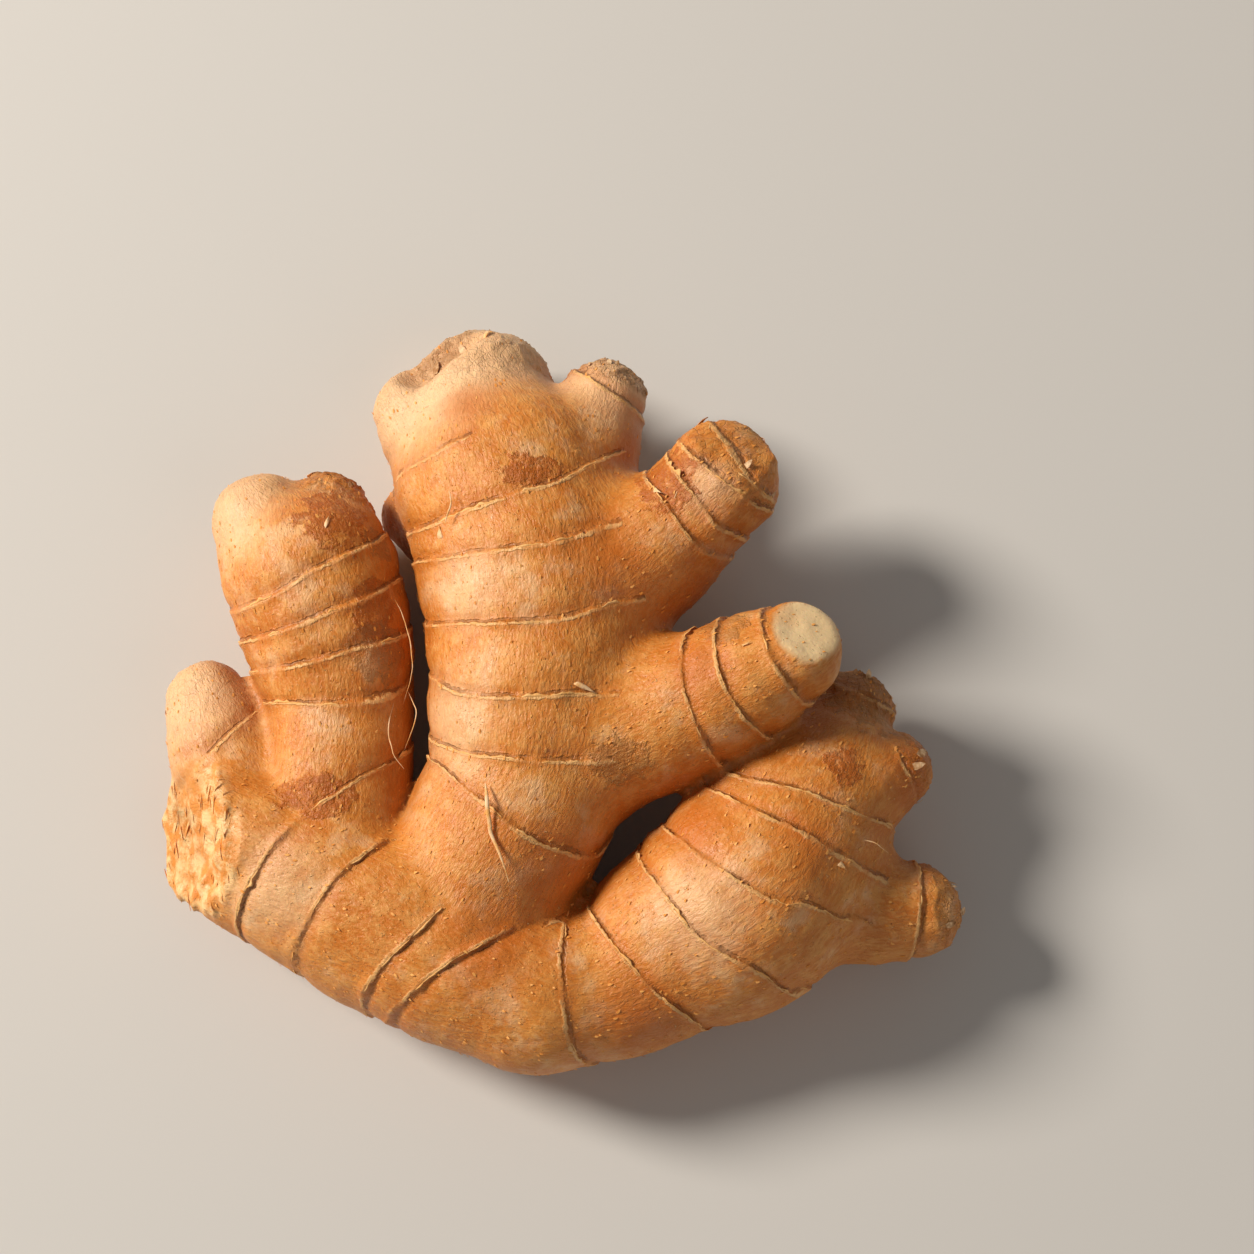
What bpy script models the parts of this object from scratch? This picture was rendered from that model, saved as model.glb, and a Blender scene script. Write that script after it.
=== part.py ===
"""A ginger root: one branched rhizome that lies on its flat side, +Z up.

Each finger is a spine of a few points, with the finger's half width at each. The skin is the
surface where the distance to all the spines, joined by soft webs, is nothing. Ring scars,
broken ends and hollows are raised from it or cut into it by formulas.
Sizes and places are millimetres in the design frame; the finished mesh is in metres.
"""

from dataclasses import dataclass, field

import bmesh
import bpy
import numpy as np

MM = 0.001
NAME = "ginger_root"

# Middle of the root's footprint in the design frame, which becomes the origin
FOOTPRINT_CENTRE = (-0.2, 3.0)

# How finely a spine is cut into straight steps, and the fusing grid for the first skin
SPINE_STEP = 3.0
FUSE_GRID = 1.0
BEAD_SHARE = 0.96
SETTLE_ROUNDS = 9

# Triangles of the finished solid, before the flat spots are cut
SKIN_TRIANGLES = 10800

# The root sinks this far into the ground plane, which cuts its three resting flats
GROUND_SIZE = 300.0
GROUND_DEPTH = 20.0

# Ring scars: a thin lip in a broad, shallow waist
LIP_HEIGHT = 0.9
LIP_WIDTH = 1.2
WAIST_DEPTH = 0.55
WAIST_WIDTH = 3.0
RING_WANDER = 0.8
RING_WANDER_SIZE = 9.0

# How far apart two steps of one spine may be from a point and still share it
BEND_BLEND = 0.15

# Slow unevenness of the whole skin
LUMP_HEIGHT = 0.5
LUMP_SIZE = 13.0

# How far apart two fingers' skins may be and still share their ring relief
RELIEF_BLEND = 1.2

# Points further than NEAR from a finger don't feel it, and are FAR outside it
NEAR = 8.0
FAR = 1000.0


@dataclass
class Finger:
    """One finger or bud. A spine point is x, y, z and half width. A ring is how far along the
    spine its scar lies, and how far it leans back per millimetre upwards and to the right."""

    name: str
    spine: list
    thickness: float = 0.95
    web: float = 4.0
    rings: list = field(default_factory=list)


@dataclass
class Break:
    """Where a finger ends in a broken or cut face."""

    finger: str
    point: tuple
    normal: tuple
    softness: float = 1.0
    roughness: float = 0.3


@dataclass
class Hollow:
    """A groove or pit pressed into the skin, from start to end."""

    start: tuple
    end: tuple
    radius: float
    softness: float = 2.0


FINGERS = [
    Finger(
        "base",
        [
            (-63.0, -25.0, 17.0, 15.0),
            (-49.5, -31.5, 17.0, 16.5),
            (-34.0, -40.0, 17.0, 17.2),
            (-19.0, -48.0, 17.2, 16.5),
            (-4.0, -54.0, 16.8, 15.0),
        ],
        thickness=1.0,
        rings=[(15.5, 0.2, 0.18), (29.0, 0.2, 0.2), (46.5, 0.2, 0.36), (56.0, 0.2, 0.65)],
    ),
    Finger(
        "middle",
        [
            (-21.0, -43.0, 18.5, 14.5),
            (-12.6, -29.0, 20.5, 17.8),
            (-6.0, -15.5, 21.5, 19.2),
            (-4.2, 0.0, 22.0, 21.2),
            (-3.6, 12.0, 22.0, 21.9),
            (-5.0, 26.0, 21.5, 22.6),
            (-9.0, 40.5, 20.0, 22.2),
        ],
        thickness=0.86,
        web=4.0,
        rings=[
            (30.0, 0.42, 0.2),
            (40.5, 0.42, -0.05),
            (52.8, 0.42, -0.08),
            (66.2, 0.42, -0.1),
            (80.0, 0.42, 0.0),
            (89.3, 0.42, -0.1),
        ],
    ),
    Finger(
        "middle_crown_left",
        [(-13.5, 45.0, 17.5, 17.5), (-15.6, 61.2, 14.2, 14.7)],
        thickness=1.0,
        web=5.0,
        rings=[(4.5, 0.3, -0.2)],
    ),
    Finger(
        "middle_crown_corner",
        [(-23.5, 51.0, 16.5, 11.0), (-29.2, 59.2, 16.5, 7.7)],
        web=3.0,
    ),
    Finger(
        "middle_crown_right",
        [(3.5, 45.0, 21.0, 11.5), (7.6, 58.6, 21.0, 9.0)],
        thickness=1.0,
        web=3.0,
        rings=[(16.5, 0.2, 0.3)],
    ),
    Finger(
        "upper_right",
        [
            (4.5, 18.0, 22.0, 14.5),
            (15.0, 26.8, 24.0, 13.6),
            (24.0, 34.2, 27.5, 11.8),
            (30.6, 40.6, 31.0, 10.9),
        ],
        thickness=1.0,
        web=5.0,
        rings=[(26.5, 0.1, 0.0), (32.0, 0.1, 0.1)],
    ),
    Finger(
        "lower_right",
        [
            (9.5, -8.0, 23.0, 14.0),
            (21.0, -3.5, 26.0, 13.8),
            (32.5, 1.5, 30.0, 12.6),
            (42.8, 5.8, 34.0, 9.8),
        ],
        thickness=0.95,
        web=5.0,
        rings=[(21.0, 0.1, 0.24), (28.5, 0.1, 0.1), (38.0, 0.1, 0.0)],
    ),
    Finger(
        "left",
        [
            (-43.5, -34.0, 17.0, 17.0),
            (-42.8, -18.0, 17.5, 14.8),
            (-41.6, -1.5, 18.0, 14.2),
            (-43.8, 11.0, 18.5, 16.2),
            (-47.6, 24.0, 19.0, 17.2),
        ],
        thickness=0.92,
        web=1.4,
        rings=[
            (17.5, 0.3, -0.7),
            (37.6, 0.44, 0.05),
            (45.0, 0.3, -0.02),
            (53.0, 0.3, -0.1),
            (61.0, 0.3, -0.2),
        ],
    ),
    Finger(
        "left_crown_outer",
        [(-54.0, 28.0, 19.0, 11.0), (-57.8, 35.2, 19.0, 9.9)],
        web=3.0,
    ),
    Finger(
        "left_crown_inner",
        [(-46.0, 29.0, 18.0, 10.0), (-45.6, 36.4, 18.0, 8.8)],
        web=2.5,
    ),
    Finger(
        "left_stub",
        [
            (-57.0, -18.0, 16.0, 11.5),
            (-63.6, -8.5, 15.5, 10.8),
            (-67.4, 1.4, 15.0, 7.4),
        ],
        web=2.5,
        rings=[(12.0, 0.2, -0.3)],
    ),
    Finger(
        "foreground",
        [
            (-4.0, -54.0, 16.8, 15.0),
            (9.0, -52.3, 16.6, 14.8),
            (22.0, -44.8, 17.3, 17.7),
            (34.5, -37.0, 18.9, 21.0),
            (43.5, -24.5, 17.5, 18.6),
            (50.5, -14.5, 16.5, 14.5),
        ],
        thickness=0.92,
        web=3.0,
        rings=[
            (8.0, 0.2, 0.0),
            (21.5, 0.2, -0.2),
            (36.0, 0.2, -0.2),
            (47.0, 0.2, -0.25),
            (57.5, 0.2, -0.12),
            (65.0, 0.2, -0.3),
        ],
    ),
    Finger(
        "foreground_crown",
        [(50.5, -14.0, 16.0, 12.0), (54.8, -1.5, 14.5, 8.5)],
        web=3.0,
        rings=[(9.5, 0.1, -0.1)],
    ),
    Finger(
        "foreground_bud",
        [(55.0, -18.0, 18.5, 9.5), (62.6, -13.2, 18.5, 7.4)],
        web=2.5,
    ),
    Finger(
        "foreground_side",
        [(50.0, -36.0, 15.5, 12.0), (60.0, -39.0, 14.8, 10.3), (66.0, -39.0, 14.2, 9.4)],
        web=4.0,
        rings=[(16.5, 0.0, 0.1)],
    ),
    Finger(
        "middle_shoulder",
        [(-21.0, 32.0, 12.0, 8.0), (-30.0, 39.5, 9.5, 5.8)],
        web=3.0,
    ),
]

BREAKS = [
    Break("base", (-68.5, -26.0, 20.0), (-0.82, -0.1, 0.56), 1.5, 0.9),
    Break("lower_right", (44.7, 9.0, 39.8), (0.35, 0.45, 0.82), 0.8, 0.25),
    Break("upper_right", (34.5, 45.0, 36.0), (0.25, 0.5, 0.83), 0.8, 0.35),
]

HOLLOWS = [
    Hollow((-28.3, 66.3, 23.4), (-20.1, 73.0, 25.4), 4.6, 2.5),
]


def sampled(spine):
    """A smooth curve through the spine's points, every SPINE_STEP or so, as rows of x, y, z, half width."""
    points = np.array(spine, float)
    ends = np.vstack([2 * points[0] - points[1], points, 2 * points[-1] - points[-2]])
    rows = []
    for i in range(len(points) - 1):
        before, start, end, after = ends[i : i + 4]
        steps = max(1, round(np.linalg.norm((end - start)[:3]) / SPINE_STEP))
        for t in np.arange(steps) / steps:
            rows.append(
                0.5
                * (
                    2 * start
                    + (end - before) * t
                    + (2 * before - 5 * start + 4 * end - after) * t**2
                    + (3 * start - before - 3 * end + after) * t**3
                )
            )
    return np.array([*rows, points[-1]])


def wander(points, size, seed):
    """A smooth random value from -1 to 1 at each point, which changes over size millimetres."""
    cell = points / size
    corner = np.floor(cell).astype(np.int64)
    part = cell - corner
    part = part * part * (3 - 2 * part)
    total = np.zeros(len(points))
    for offset in np.ndindex(2, 2, 2):
        x, y, z = (corner + offset).T
        mixed = (x * 73856093) ^ (y * 19349663) ^ (z * 83492791) ^ (seed * 26544357)
        mixed = ((mixed ^ (mixed >> 13)) * 1274126177) & 0xFFFFFFFF
        value = ((mixed ^ (mixed >> 16)) & 0xFFFF) / 32767.5 - 1
        share = np.prod(np.where(offset, part, 1 - part), axis=1)
        total += value * share
    return total


def smooth_min(a, b, reach):
    """The smaller of a and b, rounded where they differ by less than reach."""
    near = np.maximum(reach - np.abs(a - b), 0) / reach
    return np.minimum(a, b) - near * near * reach / 4


def around_spine(finger, points):
    """Each point's place by the plain finger: how far outside it, the way out of it, and how far
    along, right of and above its spine. Near a bend the steps on both sides have a say."""
    line = sampled(finger.spine)
    scale = np.array([1, 1, 1 / finger.thickness])
    start, end = line[:-1, :3] * scale, line[1:, :3] * scale
    step = end - start
    length = np.linalg.norm(step, axis=1)
    heading = step / length[:, None]
    at = np.concatenate([[0], np.cumsum(length)[:-1]])
    from_start = points[:, None] * scale - start
    run = (from_start * heading).sum(2)
    t = np.clip(run / length, 0, 1)
    offset = from_start - t[..., None] * step
    half_width = line[:-1, 3] + t * (line[1:, 3] - line[:-1, 3])
    outside = np.linalg.norm(offset, axis=2) - half_width
    closest = outside.min(1)
    share = np.exp(-(outside - closest[:, None]) / BEND_BLEND)
    share /= share.sum(1)[:, None]
    along = (share * (at + run)).sum(1)
    offset = (share[..., None] * offset).sum(1)
    right = np.cross(share @ heading, (0, 0, 1))
    right /= np.linalg.norm(right, axis=1)[:, None]
    out = offset * scale
    out /= np.linalg.norm(out, axis=1)[:, None] + 1e-9
    return closest, out, along, (offset * right).sum(1), offset[:, 2]


def ring_relief(finger, along, right, up, points):
    """Height of the ring scars over the plain skin at each point."""
    along = along + RING_WANDER * wander(points, RING_WANDER_SIZE, 3)
    relief = np.zeros(len(points))
    for place, lean_up, lean_right in finger.rings:
        from_ring = along + lean_up * up + lean_right * right - place
        relief += LIP_HEIGHT * np.exp(-((from_ring / LIP_WIDTH) ** 2))
        relief -= WAIST_DEPTH * np.exp(-((from_ring / WAIST_WIDTH) ** 2))
    return relief


def joined(a, a_out, b, b_out, reach):
    """Two skins' outside distances and ways out joined into one by a soft web."""
    both = smooth_min(a, b, reach)
    b_share = np.clip((reach + a - b) / reach, 0, 2)[:, None] / 2
    return both, a_out * (1 - b_share) + b_out * b_share


def outside_skin(points):
    """How far each point is outside the finished skin, in millimetres, and the way out of it."""
    whole = np.full(len(points), FAR)
    way_out = np.zeros((len(points), 3))
    distances, reliefs = [], []
    for finger in FINGERS:
        line = np.array(finger.spine)
        reach = line[:, 3].max() + NEAR
        low, high = line[:, :3].min(0) - reach, line[:, :3].max(0) + reach
        near = ((points > low) & (points < high)).all(1)
        distance, relief = np.full(len(points), FAR), np.zeros(len(points))
        close = points[near]
        outside, out, along, right, up = around_spine(finger, close)
        relief[near] = ring_relief(finger, along, right, up, close)
        for face in BREAKS:
            if face.finger == finger.name:
                normal = np.array(face.normal) / np.linalg.norm(face.normal)
                past = (close - face.point) @ normal + face.roughness * wander(close, 3.5, 11)
                cut, out = joined(-outside, -out, -past, np.tile(-normal, (len(close), 1)), face.softness)
                outside, out = -cut, -out
        distance[near] = outside
        whole[near], way_out[near] = joined(whole[near], way_out[near], outside, out, finger.web)
        distances.append(distance)
        reliefs.append(relief)
    distances = np.array(distances)
    share = np.exp(-(distances - distances.min(0)) / RELIEF_BLEND)
    whole -= (share * np.array(reliefs)).sum(0) / share.sum(0)
    whole -= LUMP_HEIGHT * wander(points, LUMP_SIZE, 5)
    for hollow in HOLLOWS:
        start, end = np.array(hollow.start), np.array(hollow.end)
        step = end - start
        t = np.clip((points - start) @ step / (step @ step), 0, 1)
        inward = start + t[:, None] * step - points
        depth = np.linalg.norm(inward, axis=1)
        inward /= depth[:, None] + 1e-9
        cut, out = joined(-whole, -way_out, depth - hollow.radius, -inward, hollow.softness)
        whole, way_out = -cut, -out
    way_out /= np.linalg.norm(way_out, axis=1)[:, None] + 1e-9
    return whole, way_out


def string_of_beads():
    """A rough body: overlapping balls along every spine, fused into one skin on a fine grid."""
    shape = bmesh.new()
    for finger in FINGERS:
        for x, y, z, half_width in sampled(finger.spine):
            ball = bmesh.ops.create_icosphere(shape, subdivisions=3, radius=half_width * BEAD_SHARE)
            bmesh.ops.scale(shape, vec=(1, 1, finger.thickness), verts=ball["verts"])
            bmesh.ops.translate(shape, vec=(x, y, z), verts=ball["verts"])
    mesh = bpy.data.meshes.new("beads")
    shape.to_mesh(mesh)
    shape.free()
    beads = bpy.data.objects.new("beads", mesh)
    bpy.context.scene.collection.objects.link(beads)
    fuse = beads.modifiers.new("fuse", "REMESH")
    fuse.mode = "VOXEL"
    fuse.voxel_size = FUSE_GRID
    fused = bpy.data.meshes.new_from_object(
        beads.evaluated_get(bpy.context.evaluated_depsgraph_get())
    )
    bpy.data.objects.remove(beads)
    bpy.data.meshes.remove(mesh)
    return fused


def read_vectors(items, attribute):
    """A mesh's points or normals as an (n, 3) array."""
    values = np.zeros(len(items) * 3, np.float32)
    items.foreach_get(attribute, values)
    return values.reshape(-1, 3).astype(float)


def settle(mesh):
    """Moves the rough skin's points onto the finished skin, and spreads them evenly over it."""
    edges = np.zeros(len(mesh.edges) * 2, np.int32)
    mesh.edges.foreach_get("vertices", edges)
    edges = edges.reshape(-1, 2)
    count = np.bincount(edges.ravel(), minlength=len(mesh.vertices))[:, None]
    for _ in range(SETTLE_ROUNDS):
        place = read_vectors(mesh.vertices, "co")
        normal = read_vectors(mesh.vertex_normals, "vector")
        middle = np.zeros_like(place)
        np.add.at(middle, edges[:, 0], place[edges[:, 1]])
        np.add.at(middle, edges[:, 1], place[edges[:, 0]])
        drift = middle / count - place
        drift -= (drift * normal).sum(1)[:, None] * normal
        place += 0.5 * drift
        outside, way_out = outside_skin(place)
        place -= np.clip(outside, -1.5, 1.5)[:, None] * way_out
        mesh.vertices.foreach_set("co", place.astype(np.float32).ravel())
        mesh.update()


def skin_material():
    """Buff, matt ginger skin."""
    skin = bpy.data.materials.new("ginger_skin")
    skin.use_nodes = True
    shader = skin.node_tree.nodes["Principled BSDF"]
    shader.inputs["Base Color"].default_value = (0.62, 0.36, 0.15, 1.0)
    shader.inputs["Roughness"].default_value = 0.62
    shader.inputs["Metallic"].default_value = 0.0
    return skin


def ground_cutter():
    """A block under the ground plane that shaves the resting flats."""
    bpy.ops.mesh.primitive_cube_add(size=1)
    ground = bpy.context.object
    ground.name = "ground_cutter"
    ground.dimensions = (GROUND_SIZE * MM, GROUND_SIZE * MM, GROUND_DEPTH * MM)
    ground.location = (0, 0, -GROUND_DEPTH / 2 * MM)
    ground.hide_render = True
    ground.display_type = "WIRE"
    return ground


def ginger_root():
    """The whole root as one named solid."""
    mesh = string_of_beads()
    settle(mesh)
    mesh.name = NAME
    place = read_vectors(mesh.vertices, "co")
    place -= (*FOOTPRINT_CENTRE, 0)
    mesh.vertices.foreach_set("co", (place * MM).astype(np.float32).ravel())
    mesh.shade_smooth()
    mesh.materials.clear()
    mesh.materials.append(skin_material())
    root = bpy.data.objects.new(NAME, mesh)
    bpy.context.scene.collection.objects.link(root)
    thin_out = root.modifiers.new("thin_out", "DECIMATE")
    thin_out.ratio = SKIN_TRIANGLES / (2 * len(mesh.polygons))
    flats = root.modifiers.new("flats", "BOOLEAN")
    flats.operation = "DIFFERENCE"
    flats.solver = "EXACT"
    flats.object = ground_cutter()
    return root


def main():
    """Clears the scene and builds the root."""
    for old in list(bpy.data.objects):
        bpy.data.objects.remove(old)
    ginger_root()


main()
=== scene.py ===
"""Looks of the ginger root: fine skin with ring scars, papery ring edges, flecks, torn and
rubbed places, loose fibres, and a plain studio stage.

The root's fingers are the same named values as in its solid, in millimetres in the design frame.
Finished pieces are in metres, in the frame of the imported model.
"""

import math
from dataclasses import dataclass, field

import bmesh
import bpy
import numpy as np
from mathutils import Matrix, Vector


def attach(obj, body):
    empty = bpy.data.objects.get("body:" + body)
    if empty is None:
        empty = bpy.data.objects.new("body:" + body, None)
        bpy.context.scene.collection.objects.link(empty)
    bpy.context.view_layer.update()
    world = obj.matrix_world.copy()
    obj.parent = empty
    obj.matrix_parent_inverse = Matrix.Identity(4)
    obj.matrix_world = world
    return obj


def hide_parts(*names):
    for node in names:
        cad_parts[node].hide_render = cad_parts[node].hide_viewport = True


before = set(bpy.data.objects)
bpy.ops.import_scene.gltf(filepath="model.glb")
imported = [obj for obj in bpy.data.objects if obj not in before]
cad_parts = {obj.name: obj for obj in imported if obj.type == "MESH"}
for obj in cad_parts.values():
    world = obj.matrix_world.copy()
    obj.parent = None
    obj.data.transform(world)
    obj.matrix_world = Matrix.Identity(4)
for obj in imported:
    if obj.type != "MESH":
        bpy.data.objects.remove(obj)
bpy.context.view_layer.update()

bl_info = {
    "name": "Ginger root looks",
    "version": (1, 0, 0),
    "blender": (4, 5, 0),
    "location": "3D View > Sidebar > Ginger root",
    "description": "Fine skin, ring edges, flecks, fibres and stage for the ginger root",
    "category": "Object",
}

MM = 0.001
NODE = "ginger_root"
FOOTPRINT_CENTRE = np.array((-0.2, 3.0, 0.0))
SPINE_STEP = 3.0
BEND_BLEND = 0.15
RELIEF_BLEND = 1.2
NEAR = 8.0
FAR = 1000.0
RING_WANDER = 0.8
RING_WANDER_SIZE = 9.0
WAIST_DEPTH = 0.55
WAIST_WIDTH = 3.0
LIP_HEIGHT = 0.58
LIP_WIDTHS = (1.5, 0.55)
CRACK_DEPTH = 0.2
CRACK_PLACE = 1.0
CRACK_WIDTH = 0.5
SCALE_HEIGHT = 0.45
SCALE_WIDTHS = (2.5, 0.5)

# How often the skin settles before and after its faces by the rings, within reach, are cut
FIRST_ROUNDS = 3
LAST_ROUNDS = 2
RING_REACH = 1.3

# How often a ring's line moves towards its place on the finger
RING_ROUNDS = 40

# Unevenness of the skin: height and size of each layer, and its seed
LUMPS = ((0.5, 13.0, 5), (0.26, 5.5, 21), (0.13, 2.4, 23))

# Wall thicknesses of the papery pieces, in metres
EDGE_WALL = 0.00007
FLECK_WALL = 0.00005
FLAKE_WALL = 0.0001

# What the camera looks at, and the lights' places, in metres
CAMERA_AIM = (0.0129, 0.0109, 0.022)
LIGHT_AIM = (0, 0, 0.02)
KEY_PLACE = (-1.27, 0.50, 1.00)
FILL_PLACE = (0.9, -0.9, 1.0)


@dataclass
class Finger:
    """One finger or bud. A spine point is x, y, z and half width. A ring is how far along the
    spine its scar lies, and how far it leans back per millimetre upwards and to the right. A
    scale is a ring with a papery edge but no waist."""

    name: str
    spine: list
    thickness: float = 0.95
    web: float = 4.0
    rings: list = field(default_factory=list)
    scales: list = field(default_factory=list)


@dataclass
class Break:
    """Where a finger ends in a broken or cut face."""

    finger: str
    point: tuple
    normal: tuple
    softness: float = 1.0
    roughness: float = 0.3


FINGERS = [
    Finger(
        "base",
        [
            (-63, -25, 17, 15),
            (-49.5, -31.5, 17, 16.5),
            (-34, -40, 17, 17.2),
            (-19, -48, 17.2, 16.5),
            (-4, -54, 16.8, 15),
        ],
        thickness=1.0,
        rings=[(15.5, 0.2, 0.18), (29, 0.2, 0.2), (46.5, 0.2, 0.36), (56, 0.2, 0.65)],
    ),
    Finger(
        "middle",
        [
            (-21, -43, 18.5, 14.5),
            (-12.6, -29, 20.5, 17.8),
            (-6, -15.5, 21.5, 19.2),
            (-4.2, 0, 22, 21.2),
            (-3.6, 12, 22, 21.9),
            (-5, 26, 21.5, 22.6),
            (-9, 40.5, 20, 22.2),
        ],
        thickness=0.86,
        rings=[
            (30, 0.42, 0.2),
            (40.5, 0.42, -0.05),
            (52.8, 0.42, -0.08),
            (66.2, 0.42, -0.1),
            (80, 0.42, 0),
            (89.3, 0.42, -0.1),
        ],
    ),
    Finger(
        "middle_crown_left",
        [(-13.5, 45, 17.5, 17.5), (-15.6, 61.2, 14.2, 14.7)],
        thickness=1.0,
        web=5.0,
        rings=[(4.5, 0.3, -0.2)],
    ),
    Finger("middle_crown_corner", [(-23.5, 51, 16.5, 11), (-29.2, 59.2, 16.5, 7.7)], web=3.0),
    Finger(
        "middle_crown_right",
        [(3.5, 45, 21, 11.5), (7.6, 58.6, 21, 9)],
        thickness=1.0,
        web=3.0,
        rings=[(16.5, 0.2, 0.3)],
    ),
    Finger(
        "upper_right",
        [(4.5, 18, 22, 14.5), (15, 26.8, 24, 13.6), (24, 34.2, 27.5, 11.8), (30.6, 40.6, 31, 10.9)],
        thickness=1.0,
        web=5.0,
        rings=[(26.5, 0.1, 0), (32, 0.1, 0.1)],
        scales=[(37, 0.05, -0.1), (41, 0, 0.1)],
    ),
    Finger(
        "lower_right",
        [(9.5, -8, 23, 14), (21, -3.5, 26, 13.8), (32.5, 1.5, 30, 12.6), (42.8, 5.8, 34, 9.8)],
        web=5.0,
        rings=[(21, 0.1, 0.24), (28.5, 0.1, 0.1), (38, 0.1, 0)],
    ),
    Finger(
        "left",
        [
            (-43.5, -34, 17, 17),
            (-42.8, -18, 17.5, 14.8),
            (-41.6, -1.5, 18, 14.2),
            (-43.8, 11, 18.5, 16.2),
            (-47.6, 24, 19, 17.2),
        ],
        thickness=0.92,
        web=1.4,
        rings=[(17.5, 0.3, -0.7), (37.6, 0.44, 0.05), (45, 0.3, -0.02), (53, 0.3, -0.1), (61, 0.3, -0.2)],
    ),
    Finger("left_crown_outer", [(-54, 28, 19, 11), (-57.8, 35.2, 19, 9.9)], web=3.0),
    Finger("left_crown_inner", [(-46, 29, 18, 10), (-45.6, 36.4, 18, 8.8)], web=2.5),
    Finger(
        "left_stub",
        [(-57, -18, 16, 11.5), (-63.6, -8.5, 15.5, 10.8), (-67.4, 1.4, 15, 7.4)],
        web=2.5,
        rings=[(12, 0.2, -0.3)],
    ),
    Finger(
        "foreground",
        [
            (-4, -54, 16.8, 15),
            (9, -52.3, 16.6, 14.8),
            (22, -44.8, 17.3, 17.7),
            (34.5, -37, 18.9, 21),
            (43.5, -24.5, 17.5, 18.6),
            (50.5, -14.5, 16.5, 14.5),
        ],
        thickness=0.92,
        web=3.0,
        rings=[
            (8, 0.2, 0),
            (21.5, 0.2, -0.2),
            (36, 0.2, -0.2),
            (47, 0.2, -0.25),
            (57.5, 0.2, -0.12),
            (65, 0.2, -0.3),
        ],
    ),
    Finger(
        "foreground_crown",
        [(50.5, -14, 16, 12), (54.8, -1.5, 14.5, 8.5)],
        web=3.0,
        rings=[(9.5, 0.1, -0.1)],
        scales=[(16, 0.1, 0.1)],
    ),
    Finger(
        "foreground_bud",
        [(55, -18, 18.5, 9.5), (62.6, -13.2, 18.5, 7.4)],
        web=2.5,
        scales=[(10.5, 0.1, 0.1)],
    ),
    Finger(
        "foreground_side",
        [(50, -36, 15.5, 12), (60, -39, 14.8, 10.3), (66, -39, 14.2, 9.4)],
        rings=[(16.5, 0, 0.1)],
    ),
    Finger("middle_shoulder", [(-21, 32, 12, 8), (-30, 39.5, 9.5, 5.8)], web=3.0),
]

NUMBERS = {finger.name: number for number, finger in enumerate(FINGERS)}

BREAKS = [
    Break("base", (-68.5, -26, 20), (-0.82, -0.1, 0.56), 1.5, 0.9),
    Break("lower_right", (44.7, 9, 39.8), (0.35, 0.45, 0.82), 0.8, 0.25),
    Break("upper_right", (34.5, 45, 36), (0.25, 0.5, 0.83), 0.8, 0.35),
]

HOLLOW_START = np.array((-28.3, 66.3, 23.4))
HOLLOW_END = np.array((-20.1, 73.0, 25.4))
HOLLOW_RADIUS = 4.6
HOLLOW_SOFTNESS = 2.5


def curve_point(before, start, end, after, t):
    """The point at share t between start and end, on a smooth curve through all four."""
    bend = (2 * before - 5 * start + 4 * end - after) * t**2
    bend += (3 * start - before - 3 * end + after) * t**3
    return 0.5 * (2 * start + (end - before) * t + bend)


def sampled(spine):
    """A smooth curve through the spine's points, as rows of x, y, z, half width."""
    points = np.array(spine, float)
    ends = np.vstack([2 * points[0] - points[1], points, 2 * points[-1] - points[-2]])
    rows = []
    for i in range(len(points) - 1):
        four = ends[i : i + 4]
        steps = max(1, round(np.linalg.norm((four[2] - four[1])[:3]) / SPINE_STEP))
        rows += [curve_point(*four, t) for t in np.arange(steps) / steps]
    return np.array([*rows, points[-1]])


def wander(points, size, seed):
    """A smooth random value from -1 to 1 at each point, which changes over size millimetres."""
    cell = points / size
    corner = np.floor(cell).astype(np.int64)
    part = cell - corner
    part = part * part * (3 - 2 * part)
    total = np.zeros(len(points))
    for offset in np.ndindex(2, 2, 2):
        x, y, z = (corner + offset).T
        mixed = (x * 73856093) ^ (y * 19349663) ^ (z * 83492791) ^ (seed * 26544357)
        mixed = ((mixed ^ (mixed >> 13)) * 1274126177) & 0xFFFFFFFF
        value = ((mixed ^ (mixed >> 16)) & 0xFFFF) / 32767.5 - 1
        total += value * np.prod(np.where(offset, part, 1 - part), axis=1)
    return total


def smooth_min(a, b, reach):
    """The smaller of a and b, rounded where they differ by less than reach."""
    near = np.maximum(reach - np.abs(a - b), 0) / reach
    return np.minimum(a, b) - near * near * reach / 4


@dataclass
class Around:
    """Each point's place by one plain finger."""

    outside: np.ndarray
    out: np.ndarray
    along: np.ndarray
    right: np.ndarray
    up: np.ndarray
    heading: np.ndarray


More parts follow.
